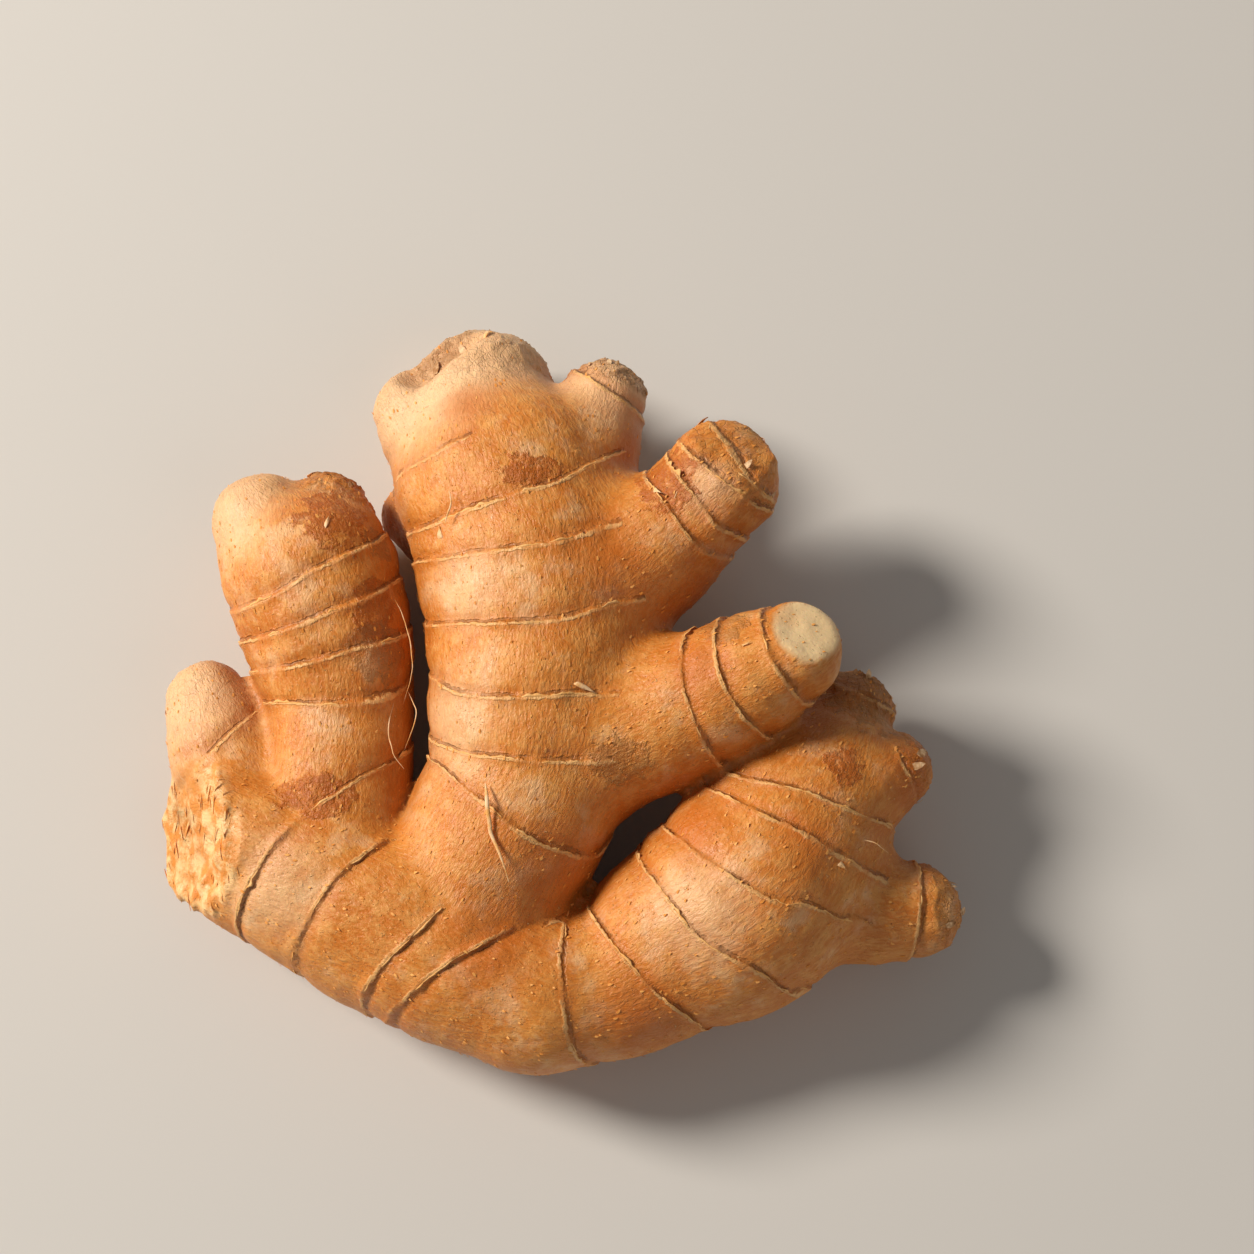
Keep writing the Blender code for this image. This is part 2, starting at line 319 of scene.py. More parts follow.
def around_spine(finger, points):
    """Each point's place by the plain finger. Near a bend the steps on both sides have a say."""
    line = sampled(finger.spine)
    scale = np.array([1, 1, 1 / finger.thickness])
    start, end = line[:-1, :3] * scale, line[1:, :3] * scale
    step = end - start
    length = np.linalg.norm(step, axis=1)
    heading = step / length[:, None]
    at = np.concatenate([[0], np.cumsum(length)[:-1]])
    from_start = points[:, None] * scale - start
    run = (from_start * heading).sum(2)
    t = np.clip(run / length, 0, 1)
    offset = from_start - t[..., None] * step
    half_width = line[:-1, 3] + t * (line[1:, 3] - line[:-1, 3])
    outside = np.linalg.norm(offset, axis=2) - half_width
    closest = outside.min(1)
    share = np.exp(-(outside - closest[:, None]) / BEND_BLEND)
    share /= share.sum(1)[:, None]
    along = (share * (at + run)).sum(1)
    offset = (share[..., None] * offset).sum(1)
    forward = share @ heading
    right = np.cross(forward, (0, 0, 1))
    right /= np.linalg.norm(right, axis=1)[:, None]
    out = offset * scale
    out /= np.linalg.norm(out, axis=1)[:, None] + 1e-9
    return Around(closest, out, along, (offset * right).sum(1), offset[:, 2], forward)


def ring_distance(place, points, ring):
    """How far each point is past a ring line, towards the tip."""
    at, lean_up, lean_right = ring
    along = place.along + RING_WANDER * wander(points, RING_WANDER_SIZE, 3)
    return along + lean_up * place.up + lean_right * place.right - at


def ring_relief(finger, place, points):
    """Height of the ring scars over the plain skin: a lip that is steep on the tip's side."""
    relief = np.zeros(len(points))
    strength = np.clip(0.75 + 0.7 * wander(points, 3.6, 7), 0.1, 1.6)
    for ring in finger.rings:
        past = ring_distance(place, points, ring)
        lip = np.exp(-((past / np.where(past < 0, *LIP_WIDTHS)) ** 2))
        crack = np.exp(-(((past - CRACK_PLACE) / CRACK_WIDTH) ** 2))
        relief += LIP_HEIGHT * strength * lip - CRACK_DEPTH * crack
        relief -= WAIST_DEPTH * np.exp(-((past / WAIST_WIDTH) ** 2))
    for ring in finger.scales:
        past = ring_distance(place, points, ring)
        edge = np.exp(-((past / np.where(past < 0, *SCALE_WIDTHS)) ** 2))
        relief += SCALE_HEIGHT * strength * edge
    return relief


def joined(a, a_out, b, b_out, reach):
    """Two skins' outside distances and ways out joined into one by a soft web."""
    both = smooth_min(a, b, reach)
    b_share = np.clip((reach + a - b) / reach, 0, 2)[:, None] / 2
    return both, a_out * (1 - b_share) + b_out * b_share


def past_break(face, points):
    """How far each point is beyond a broken face's uneven plane."""
    normal = np.array(face.normal) / np.linalg.norm(face.normal)
    past = (points - face.point) @ normal + face.roughness * wander(points, 3.5, 11)
    return past, normal


def fibre_ridges(points):
    """Ridges that run along +Y over the torn end."""
    strands = points / (1.0, 5.0, 1.0)
    coarse = 1 - 2 * np.abs(wander(strands, 2.8, 31))
    return 0.9 * coarse + 0.35 * wander(strands, 1.4, 33) - 0.4


@dataclass
class Skin:
    """What the field says at each point."""

    outside: np.ndarray
    out: np.ndarray
    share: np.ndarray
    places: list


def skin_field(points):
    """How far each point is outside the fine skin, the way out of it, and its place by each finger."""
    count = len(points)
    whole = np.full(count, FAR)
    way_out = np.zeros((count, 3))
    distances, reliefs, places = [], [], []
    for finger in FINGERS:
        line = np.array(finger.spine, float)
        reach = line[:, 3].max() + NEAR
        low, high = line[:, :3].min(0) - reach, line[:, :3].max(0) + reach
        near = ((points > low) & (points < high)).all(1)
        distance, relief = np.full(count, FAR), np.zeros(count)
        close = points[near]
        place = around_spine(finger, close)
        relief[near] = ring_relief(finger, place, close)
        outside, out = place.outside, place.out
        for face in BREAKS:
            if face.finger == finger.name:
                past, normal = past_break(face, close)
                face_out = np.tile(-normal, (len(close), 1))
                on_face = np.exp(-((np.maximum(-past, 0) / 1.5) ** 2)) * (outside < 1)
                if finger.name == "base":
                    relief[near] += 1.1 * on_face * fibre_ridges(close)
                cut, out = joined(-outside, -out, -past, face_out, face.softness)
                outside, out = -cut, -out
        distance[near] = outside
        whole[near], way_out[near] = joined(whole[near], way_out[near], outside, out, finger.web)
        distances.append(distance)
        reliefs.append(relief)
        places.append((near, place))
    distances = np.array(distances)
    share = np.exp(-(distances - distances.min(0)) / RELIEF_BLEND)
    share /= share.sum(0)
    whole -= (share * np.array(reliefs)).sum(0)
    for height, size, seed in LUMPS:
        whole -= height * wander(points, size, seed)
    step = HOLLOW_END - HOLLOW_START
    t = np.clip((points - HOLLOW_START) @ step / (step @ step), 0, 1)
    inward = HOLLOW_START + t[:, None] * step - points
    depth = np.linalg.norm(inward, axis=1)
    inward /= depth[:, None] + 1e-9
    cut, out = joined(-whole, -way_out, depth - HOLLOW_RADIUS, -inward, HOLLOW_SOFTNESS)
    whole, way_out = -cut, -out
    way_out /= np.linalg.norm(way_out, axis=1)[:, None] + 1e-9
    return Skin(whole, way_out, share, places)


def to_frame(points):
    """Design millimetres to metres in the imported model's frame."""
    return (np.asarray(points, float) - FOOTPRINT_CENTRE) * MM


def to_design(points):
    """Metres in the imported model's frame to design millimetres."""
    return np.asarray(points, float) / MM + FOOTPRINT_CENTRE


def read_vectors(items, attribute):
    """A mesh's points or normals as an (n, 3) array."""
    values = np.zeros(len(items) * 3, np.float32)
    items.foreach_get(attribute, values)
    return values.reshape(-1, 3).astype(float)


def store(mesh, name, values):
    """Keeps one number or vector for each of the mesh's points, under a name."""
    values = np.asarray(values, np.float32)
    kind, key = ("FLOAT", "value") if values.ndim == 1 else ("FLOAT_VECTOR", "vector")
    mesh.attributes.new(name, kind, "POINT").data.foreach_set(key, values.ravel())


def settle(mesh, rounds, spread=0.5):
    """Moves the mesh's points, in millimetres, onto the fine skin and spreads them over it."""
    edges = np.zeros(len(mesh.edges) * 2, np.int32)
    mesh.edges.foreach_get("vertices", edges)
    edges = edges.reshape(-1, 2)
    count = np.bincount(edges.ravel(), minlength=len(mesh.vertices))[:, None]
    for _ in range(rounds):
        place = read_vectors(mesh.vertices, "co")
        normal = read_vectors(mesh.vertex_normals, "vector")
        middle = np.zeros_like(place)
        np.add.at(middle, edges[:, 0], place[edges[:, 1]])
        np.add.at(middle, edges[:, 1], place[edges[:, 0]])
        drift = middle / count - place
        drift -= (drift * normal).sum(1)[:, None] * normal
        place += spread * drift
        skin = skin_field(place)
        place -= np.clip(skin.outside, -1.0, 1.0)[:, None] * skin.out
        mesh.vertices.foreach_set("co", place.astype(np.float32).ravel())
        mesh.update()


def evaluated_mesh(thing):
    """The object's mesh with its modifiers done, as a new plain mesh."""
    graph = bpy.context.evaluated_depsgraph_get()
    return bpy.data.meshes.new_from_object(thing.evaluated_get(graph), depsgraph=graph)


def make_plain(thing):
    """Replaces the object's mesh by its finished shape and drops the modifiers."""
    made = evaluated_mesh(thing)
    made.name = thing.name
    old = thing.data
    thing.modifiers.clear()
    thing.data = made
    bpy.data.meshes.remove(old)


def give_wall(thing, thickness, offset=-1.0):
    """Thickens a thin piece and leaves it as a plain mesh."""
    wall = thing.modifiers.new("wall", "SOLIDIFY")
    wall.thickness = thickness
    wall.offset = offset
    make_plain(thing)


def new_object(name, mesh):
    """A new object with the mesh, in the scene."""
    thing = bpy.data.objects.new(name, mesh)
    bpy.context.scene.collection.objects.link(thing)
    return thing


def belongs(thing):
    """The finished piece goes with the root."""
    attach(thing, "root")


class Wiring:
    """Adds nodes to one tree and joins them."""

    def __init__(self, tree):
        self.tree = tree

    def add(self, kind, settings=None, inputs=None):
        node = self.tree.nodes.new(kind)
        for key, value in (settings or {}).items():
            setattr(node, key, value)
        for key, value in (inputs or {}).items():
            if isinstance(value, bpy.types.NodeSocket):
                self.tree.links.new(value, node.inputs[key])
            else:
                node.inputs[key].default_value = value
        return node

    def math(self, operation, a, b=0.0, clamp=False):
        settings = {"operation": operation, "use_clamp": clamp}
        return self.add("ShaderNodeMath", settings, {0: a, 1: b}).outputs[0]

    def times(self, a, b):
        return self.math("MULTIPLY", a, b)

    def vector(self, operation, a, b=(0.0, 0.0, 0.0)):
        node = self.add("ShaderNodeVectorMath", {"operation": operation}, {0: a, 1: b})
        return node.outputs["Value" if operation in ("LENGTH", "DOT_PRODUCT", "DISTANCE") else "Vector"]

    def scaled(self, a, factor):
        node = self.add("ShaderNodeVectorMath", {"operation": "SCALE"}, {0: a, "Scale": factor})
        return node.outputs["Vector"]

    def ramp(self, value, low, high, to_low=0.0, to_high=1.0):
        """A smooth step from to_low at low to to_high at high."""
        inputs = {"Value": value, "From Min": low, "From Max": high, "To Min": to_low, "To Max": to_high}
        node = self.add("ShaderNodeMapRange", {"interpolation_type": "SMOOTHSTEP"}, inputs)
        return node.outputs["Result"]

    def noise(self, vector, scale, detail=2.0, roughness=0.5, distortion=0.0):
        inputs = {"Vector": vector, "Scale": scale, "Detail": detail, "Roughness": roughness}
        inputs["Distortion"] = distortion
        return self.add("ShaderNodeTexNoise", None, inputs).outputs[0]

    def mix(self, share, a, b):
        """One colour fading into another."""
        settings = {"data_type": "RGBA", "clamp_factor": True}
        node = self.add("ShaderNodeMix", settings, {0: share, 6: a, 7: b})
        return node.outputs[2]

    def over(self, colour, tint, mask, strength):
        """A tint laid over a colour where the mask is, at the given strength."""
        return self.mix(self.times(mask, strength), colour, (*tint, 1))

    def named(self, name, vector=False):
        """An attribute of the surface."""
        node = self.add("ShaderNodeAttribute", {"attribute_name": name})
        return node.outputs["Vector" if vector else "Fac"]


def new_group(name, inputs, outputs):
    """An empty shader node group with named sockets, its wiring, its input and output nodes."""
    group = bpy.data.node_groups.new(name, "ShaderNodeTree")
    for label, kind, value in inputs:
        socket = group.interface.new_socket(label, in_out="INPUT", socket_type=kind)
        if value is not None:
            socket.default_value = value
    for label, kind in outputs:
        group.interface.new_socket(label, in_out="OUTPUT", socket_type=kind)
    wiring = Wiring(group)
    return group, wiring, wiring.add("NodeGroupInput").outputs, wiring.add("NodeGroupOutput").inputs


FLOAT = "NodeSocketFloat"
VECTOR = "NodeSocketVector"
GEOMETRY = "NodeSocketGeometry"
MATERIAL = "NodeSocketMaterial"


def lengthwise_grain():
    """Fine wrinkles and strands along a finger, faded between up to three fingers."""
    group, w, given, result = new_group(
        "lengthwise_grain",
        [(name, VECTOR, None) for name in ("Grain 0", "Grain 1", "Grain 2", "Shares")],
        [("Height", FLOAT), ("Streak", FLOAT)],
    )
    shares = w.add("ShaderNodeSeparateXYZ", None, {0: given["Shares"]}).outputs
    height, streak = 0.0, 0.0
    for slot in range(3):
        grain = given[f"Grain {slot}"]
        bent = w.vector("MULTIPLY", grain, (1.0, 1.0, 0.46))
        fine = w.noise(bent, 1.5, 3.0, 0.62, 0.5)
        streaks = w.noise(w.vector("MULTIPLY", grain, (1.0, 1.0, 0.2)), 0.9, 3.0, 0.6, 0.3)
        height = w.math("ADD", height, w.times(fine, shares[slot]))
        streak = w.math("ADD", streak, w.times(streaks, shares[slot]))
    w.tree.links.new(height, result["Height"])
    w.tree.links.new(streak, result["Streak"])
    return group


def ring_marks():
    """Pale line, dark crack line of painted shade and brown band of a ring scar, from the distance past it
    in mm.
    """
    group, w, given, result = new_group(
        "ring_marks",
        [("Past Ring", FLOAT, 0.0), ("Ring Gap", FLOAT, 6.0), ("Position", VECTOR, None)],
        [("Pale", FLOAT), ("Crack", FLOAT), ("Band", FLOAT)],
    )
    excess = w.math("SUBTRACT", given["Ring Gap"], w.math("ABSOLUTE", given["Past Ring"]))
    real = w.ramp(excess, 0.3, 1.2, 1.0, 0.0)
    ragged = w.math("SUBTRACT", w.noise(given["Position"], 900.0, 2.0), 0.5)
    past = w.math("ADD", given["Past Ring"], w.times(ragged, 1.0))
    patchy = w.ramp(w.noise(given["Position"], 200.0, 3.0), 0.38, 0.6, 0.15, 1.0)
    pale = w.ramp(w.math("ABSOLUTE", w.math("ADD", past, 0.1)), 0.15, 0.5, 1.0, 0.0)
    crack = w.ramp(w.math("ABSOLUTE", w.math("SUBTRACT", past, 0.6)), 0.08, 0.42, 1.0, 0.0)
    band = w.ramp(w.math("ABSOLUTE", w.math("SUBTRACT", past, 0.6)), 0.4, 3.0, 1.0, 0.0)
    w.tree.links.new(w.times(w.times(pale, patchy), real), result["Pale"])
    w.tree.links.new(w.times(w.times(crack, patchy), real), result["Crack"])
    w.tree.links.new(w.times(band, real), result["Band"])
    return group


def ragged_patch():
    """A patch with an uneven edge around a centre."""
    group, w, given, result = new_group(
        "ragged_patch",
        [
            ("Position", VECTOR, None),
            ("Centre", VECTOR, (0.0, 0.0, 0.0)),
            ("Radius", FLOAT, 0.005),
            ("Stretch", VECTOR, (1.0, 1.0, 1.0)),
            ("Raggedness", FLOAT, 0.5),
            ("Softness", FLOAT, 0.2),
        ],
        [("Mask", FLOAT)],
    )
    offset = w.vector("SUBTRACT", given["Position"], given["Centre"])
    offset = w.vector("MULTIPLY", offset, given["Stretch"])
    reach = w.math("DIVIDE", w.vector("LENGTH", offset), given["Radius"])
    uneven = w.times(w.math("SUBTRACT", w.noise(given["Position"], 330.0, 4.0, 0.6), 0.5), 2.2)
    edge = w.math("ADD", reach, w.times(uneven, given["Raggedness"]))
    inner = w.math("SUBTRACT", 1.0, given["Softness"])
    w.tree.links.new(w.ramp(edge, inner, 1.0, 1.0, 0.0), result["Mask"])
    return group


def netting():
    """Thin lines between uneven cells, as in dry, cracked skin."""
    group, w, given, result = new_group(
        "netting", [("Position", VECTOR, None), ("Cell", FLOAT, 0.002)], [("Line", FLOAT)]
    )
    drift = w.add("ShaderNodeTexNoise", None, {"Vector": given["Position"], "Scale": 420.0, "Detail": 3.0})
    bend = w.scaled(w.vector("SUBTRACT", drift.outputs["Color"], (0.5, 0.5, 0.5)), 0.0035)
    bent = w.vector("ADD", given["Position"], bend)
    inputs = {"Vector": bent, "Scale": w.math("DIVIDE", 1.0, given["Cell"])}
    cells = w.add("ShaderNodeTexVoronoi", {"feature": "DISTANCE_TO_EDGE"}, inputs)
    w.tree.links.new(w.ramp(cells.outputs["Distance"], 0.0, 0.09, 1.0, 0.0), result["Line"])
    return group


def place_group(w, group, inputs):
    """The group's node in a material, wired to its inputs."""
    node = w.add("ShaderNodeGroup", {"node_tree": group}, inputs)
    return node.outputs


# Rubbed and mouldy places: centre in metres, radius in mm, stretch, raggedness
RUBBED = [
    ((-0.0442, -0.0230, 0.0310), 5.0, (0.62, 1.0, 1.0), 0.6),
    ((-0.0342, 0.0121, 0.0302), 4.5, (1.0, 0.6, 1.0), 0.8),
    ((-0.0420, 0.0303, 0.0312), 8.0, (1.0, 1.0, 1.0), 0.9),
    ((0.0205, 0.0352, 0.0377), 6.5, (1.0, 1.0, 0.7), 0.9),
    ((0.0529, -0.0174, 0.0308), 4.2, (1.0, 1.0, 1.0), 0.8),
    ((-0.0042, 0.0367, 0.0389), 4.5, (0.6, 1.2, 1.0), 0.9),
]
MOULDY = [
    ((0.0579, -0.0012, 0.0213), 9.0, (1.0, 1.0, 1.0), 0.9),
    ((0.0116, -0.0178, 0.0349), 5.0, (0.7, 1.1, 1.0), 0.9),
    ((0.0308, 0.0068, 0.0383), 4.5, (0.8, 1.0, 1.0), 0.8),
    ((-0.0331, 0.0040, 0.0288), 5.5, (0.8, 0.9, 1.0), 0.9),
    ((-0.0330, 0.0270, 0.0280), 5.0, (1.0, 1.0, 1.0), 0.9),
    ((-0.0250, 0.0677, 0.0200), 6.5, (1.0, 1.0, 1.0), 0.9),
]

# Broad soft patches of painted light (paler) and painted shade (more orange): centre in metres, radius in
# mm
PAINTED_LIGHT_PATCHES = [
    ((-0.0207, -0.0099, 0.034), 15.0),
    ((-0.0511, -0.0402, 0.030), 15.0),
    ((0.0250, -0.0450, 0.037), 15.0),
    ((-0.0245, 0.0523, 0.028), 17.0),
    ((-0.0615, 0.0308, 0.028), 14.0),
    ((-0.0170, 0.0150, 0.038), 12.0),
    ((0.0270, 0.0330, 0.042), 9.0),
]
PAINTED_SHADE_PATCHES = [
    ((0.0097, 0.0204, 0.038), 14.0),
    ((0.0002, -0.0371, 0.033), 15.0),
    ((-0.0112, -0.0505, 0.032), 15.0),
    ((0.0154, -0.0628, 0.026), 16.0),
    ((0.0268, -0.0292, 0.033), 11.0),
    ((-0.0312, 0.0077, 0.026), 12.0),
    ((0.0648, -0.0192, 0.024), 11.0),
    ((0.0440, -0.0330, 0.032), 12.0),
    ((-0.0165, 0.0500, 0.031), 9.0),
    ((0.0262, -0.0010, 0.038), 10.0),
]


def skin_material(look):
    """Buff ginger skin with lengthwise grain, ring marks, rubbed and torn places, and painted light and
    shade in broad patches, hollows, wrinkle grooves and ring grooves.
    """
    skin = bpy.data.materials.new("ginger_skin_fine")
    skin.use_nodes = True
    w = Wiring(skin.node_tree)
    shader = skin.node_tree.nodes["Principled BSDF"]
    position = w.add("ShaderNodeTexCoord").outputs["Object"]
    grain = place_group(
        w,
        lengthwise_grain(),
        {
            "Grain 0": w.named("grain_0", True),
            "Grain 1": w.named("grain_1", True),
            "Grain 2": w.named("grain_2", True),
            "Shares": w.named("grain_shares", True),
        },
    )
    given = {"Past Ring": w.named("past_ring"), "Ring Gap": w.named("ring_gap"), "Position": position}
    marks = place_group(w, ring_marks(), given)
    crevice = w.named("crevice")
    torn = w.named("torn")
    cut = w.named("cut")
    netted = w.named("netted")
    brown = w.named("brown")
    crown = w.named("crown")
    net = place_group(w, netting(), {"Position": position, "Cell": 0.0022})["Line"]
    net = w.times(net, netted)

    cloud = w.noise(position, 55.0, 4.0, 0.6)
    mottle = w.noise(position, 260.0, 4.0, 0.65)
    speck = w.noise(position, 1500.0, 2.0, 0.5)
    colour = w.mix(w.ramp(cloud, 0.35, 0.65), (*look.buff_deep, 1), (*look.buff, 1))
    colour = w.over(colour, look.buff_pale, w.ramp(mottle, 0.48, 0.66), 0.5)
    colour = w.over(colour, look.orange_and_painted_shade, w.ramp(mottle, 0.5, 0.3), 0.4)
    colour = w.over(colour, look.buff_pale, w.ramp(grain["Streak"], 0.52, 0.7), 0.3)
    colour = w.over(colour, look.orange_and_painted_shade, w.ramp(grain["Streak"], 0.48, 0.3), 0.25)
    # Painted shade and painted highlight: more orange in the fine wrinkles' grooves, paler on their tops
    colour = w.over(colour, look.orange_and_painted_shade, w.ramp(grain["Height"], 0.42, 0.28), 0.35)
    colour = w.over(colour, look.buff_pale, w.ramp(grain["Height"], 0.48, 0.6), 0.35)
    colour = w.over(colour, look.crown, crown, 0.65)
    dusty = w.ramp(w.noise(position, 105.0, 5.0, 0.7), 0.5, 0.68)
    colour = w.over(colour, look.crown, dusty, 0.4)
    browned = w.times(brown, w.ramp(w.noise(position, 420.0, 4.0, 0.65, 0.8), 0.36, 0.6))
    colour = w.mix(browned, colour, (*look.mould, 1))
    colour = w.over(colour, look.crack, net, 0.35)
    colour = w.over(colour, look.orange_and_painted_shade, marks["Band"], 0.3)
    # Painted shade: deeper orange where the skin is shut in, in the gaps and hollows
    colour = w.over(colour, look.painted_shade_orange, crevice, 0.55)

    group = ragged_patch()
    # Painted light and painted shade: broad pale patches where the root is lit, broad orange patches where
    # it is shaded
    for places, tint, strength in ((PAINTED_LIGHT_PATCHES, look.crown, 0.5), (PAINTED_SHADE_PATCHES, look.orange_and_painted_shade, 0.75)):
        patches = None
        for centre, radius in places:
            values = {"Position": position, "Centre": centre, "Radius": radius * MM, "Raggedness": 0.35}
            mask = place_group(w, group, {**values, "Softness": 0.95})["Mask"]
            patches = mask if patches is None else w.math("MAXIMUM", patches, mask)
        colour = w.over(colour, tint, patches, strength)
    rough_skin = None
    for places, tint, strength in ((RUBBED, look.rubbed, 0.85), (MOULDY, look.mould, 0.55)):
        for centre, radius, stretch, raggedness in places:
            mask = place_group(
                w,
                group,
                {
                    "Position": position,
                    "Centre": centre,
                    "Radius": radius * MM,
                    "Stretch": stretch,
                    "Raggedness": raggedness,
                },
            )["Mask"]
            mask = w.times(mask, w.ramp(w.noise(position, 520.0, 4.0, 0.7), 0.34, 0.56, 0.2, 1.0))
            colour = w.over(colour, tint, mask, strength)
            rough_skin = mask if rough_skin is None else w.math("MAXIMUM", rough_skin, mask)
    colour = w.mix(torn, colour, w.mix(w.ramp(mottle, 0.4, 0.6), (*look.torn, 1), (*look.buff, 1)))
    colour = w.mix(cut, colour, (*look.flesh, 1))
    colour = w.over(colour, look.paper, marks["Pale"], 0.8)
    # Painted shade: a dark line in the groove just past each ring
    colour = w.over(colour, look.crack, marks["Crack"], 0.6)
    colour = w.over(colour, look.paper, w.ramp(speck, 0.69, 0.75), 0.6)
    pits = w.times(w.ramp(speck, 0.26, 0.21), w.math("SUBTRACT", 0.4, w.times(cut, 0.4)))
    colour = w.mix(pits, colour, (*look.crack, 1))
    skin.node_tree.links.new(colour, shader.inputs["Base Color"])

    rough = w.ramp(w.math("ADD", w.times(mottle, 0.5), w.times(grain["Streak"], 0.5)), 0.3, 0.7, 0.38, 0.56)
    skin.node_tree.links.new(rough, shader.inputs["Roughness"])
    shader.inputs["Specular IOR Level"].default_value = 0.45

    height = w.math("ADD", w.times(grain["Height"], w.math("SUBTRACT", 1.0, cut)), w.times(mottle, 0.5))
    height = w.math("ADD", height, w.times(w.noise(position, 700.0, 3.0, 0.6), 0.35))
    height = w.math("ADD", height, w.times(w.ramp(speck, 0.66, 0.75), 0.5))
    height = w.math("SUBTRACT", height, w.times(w.ramp(speck, 0.29, 0.22), 0.4))
    height = w.math("ADD", height, w.times(marks["Pale"], 0.5))
    height = w.math("SUBTRACT", height, w.times(marks["Crack"], 0.8))
    height = w.math("ADD", height, w.times(rough_skin, w.noise(position, 900.0, 3.0, 0.7)))
    height = w.math("SUBTRACT", height, w.times(net, 0.6))
    bump = w.add("ShaderNodeBump", None, {"Strength": 1.0, "Distance": look.relief, "Height": height})
    skin.node_tree.links.new(bump.outputs["Normal"], shader.inputs["Normal"])
    shader.inputs["Subsurface Weight"].default_value = 0.08
    shader.inputs["Subsurface Radius"].default_value = (1.0, 0.4, 0.15)
    shader.inputs["Subsurface Scale"].default_value = 0.002
    return skin


def paper_material(name, tint, deep):
    """Dry papery skin: pale, thin and a little uneven."""
    paper = bpy.data.materials.new(name)
    paper.use_nodes = True
    w = Wiring(paper.node_tree)
    shader = paper.node_tree.nodes["Principled BSDF"]
    position = w.add("ShaderNodeTexCoord").outputs["Object"]
    blotch = w.noise(position, 320.0, 4.0, 0.65)
    colour = w.mix(w.ramp(blotch, 0.35, 0.62), (*deep, 1), (*tint, 1))
    paper.node_tree.links.new(colour, shader.inputs["Base Color"])
    shader.inputs["Roughness"].default_value = 0.6
    shader.inputs["Specular IOR Level"].default_value = 0.3
    height = w.noise(position, 1400.0, 3.0, 0.6)
    bump = w.add("ShaderNodeBump", None, {"Strength": 0.6, "Distance": 0.0002, "Height": height})
    paper.node_tree.links.new(bump.outputs["Normal"], shader.inputs["Normal"])
    return paper


def merged_copy(node):
    """The CAD node's shape as one joined mesh in millimetres in the design frame."""
    shape = bmesh.new()
    shape.from_mesh(node.data)
    bmesh.ops.remove_doubles(shape, verts=shape.verts, dist=1e-6)
    mesh = bpy.data.meshes.new("rough_skin")
    shape.to_mesh(mesh)
    shape.free()
    place = to_design(read_vectors(mesh.vertices, "co"))
    mesh.vertices.foreach_set("co", place.astype(np.float32).ravel())
    mesh.update()
    return mesh


def gridded(mesh, size):
    """The mesh remade of even squares of the given size."""
    rough = new_object("rough_skin", mesh)
    grid = rough.modifiers.new("grid", "REMESH")
    grid.mode = "VOXEL"
    grid.voxel_size = size
    made = evaluated_mesh(rough)
    bpy.data.objects.remove(rough)
    bpy.data.meshes.remove(mesh)
    return made


# A finger's rings run on over these neighbours
KIN = {
    "base": ("foreground",),
    "foreground": ("base", "foreground_crown", "foreground_side"),
    "middle": ("upper_right", "lower_right", "middle_crown_left", "middle_crown_right"),
    "middle_crown_left": ("middle",),
    "left": ("left_crown_outer", "left_crown_inner"),
}


def ring_share(skin, finger):
    """How much each point belongs to a finger's rings, from 0 to 1."""
    kin = [NUMBERS[name] for name in KIN.get(finger.name, ())]
    return np.clip(skin.share[NUMBERS[finger.name]] + 0.8 * skin.share[kin].sum(0), 0, 1)


def ring_facts(skin, points, limit=6.0):
    """Signed distance past the nearest ring, which dies away between rings, and the plain distance."""
    side, gap = np.zeros(len(points)), np.full(len(points), limit)
    for finger, (near, place) in zip(FINGERS, skin.places):
        close = points[near]
        share = ring_share(skin, finger)
        share = np.clip(2 * share - 0.7, 0, 1) * (skin.share[NUMBERS[finger.name]] > 0.12)
        nearest = np.full(len(close), limit)
        for ring in finger.rings + finger.scales:
            distance = ring_distance(place, close, ring)
            nearest = np.where(np.abs(distance) < np.abs(nearest), distance, nearest)
        fade = np.clip((4.0 - np.abs(nearest)) / 2.0, 0, 1)
        side[near] += share[near] * nearest * fade
        gap[near] += share[near] * (np.abs(nearest) - limit)
    return side, np.maximum(gap, 0)


# Fingers that touch each other have different slots, so that their grain can fade across
GRAIN_SLOTS = {
    "base": 0,
    "middle": 1,
    "middle_crown_left": 2,
    "middle_crown_corner": 0,
    "middle_crown_right": 0,
    "upper_right": 2,
    "lower_right": 0,
    "left": 2,
    "left_crown_outer": 0,
    "left_crown_inner": 1,
    "left_stub": 1,
    "foreground": 2,
    "foreground_crown": 0,
    "foreground_bud": 1,
    "foreground_side": 1,
    "middle_shoulder": 0,
}

# Pale crowns: finger, where along it the paleness starts and is full
CROWNS = [
    ("middle_crown_left", -4, 12),
    ("middle_crown_corner", -2, 8),
    ("middle_crown_right", 2, 14),
    ("left_crown_outer", -2, 20),
    ("left_stub", 6, 20),
]

# Rough tips: finger, where along it the roughness starts and is full, how netted, how brown
ROUGH_TIPS = [
    ("middle_crown_left", 6, 15, 0.4, 0.05),
    ("middle_crown_corner", 4, 12, 0.3, 0.1),
    ("middle_crown_right", 16.8, 18, 0.75, 0.6),
    ("upper_right", 34, 38, 0.42, 0.0),
    ("left_crown_outer", 5, 14, 0.25, 0.05),
    ("left_crown_inner", 1, 8, 0.75, 0.6),
    ("left_stub", 13, 24, 0.3, 0.05),
    ("foreground_crown", 3, 12, 0.75, 0.6),
    ("foreground_bud", 6, 11, 0.5, 0.2),
    ("foreground_side", 16.8, 20, 0.5, 0.25),
]


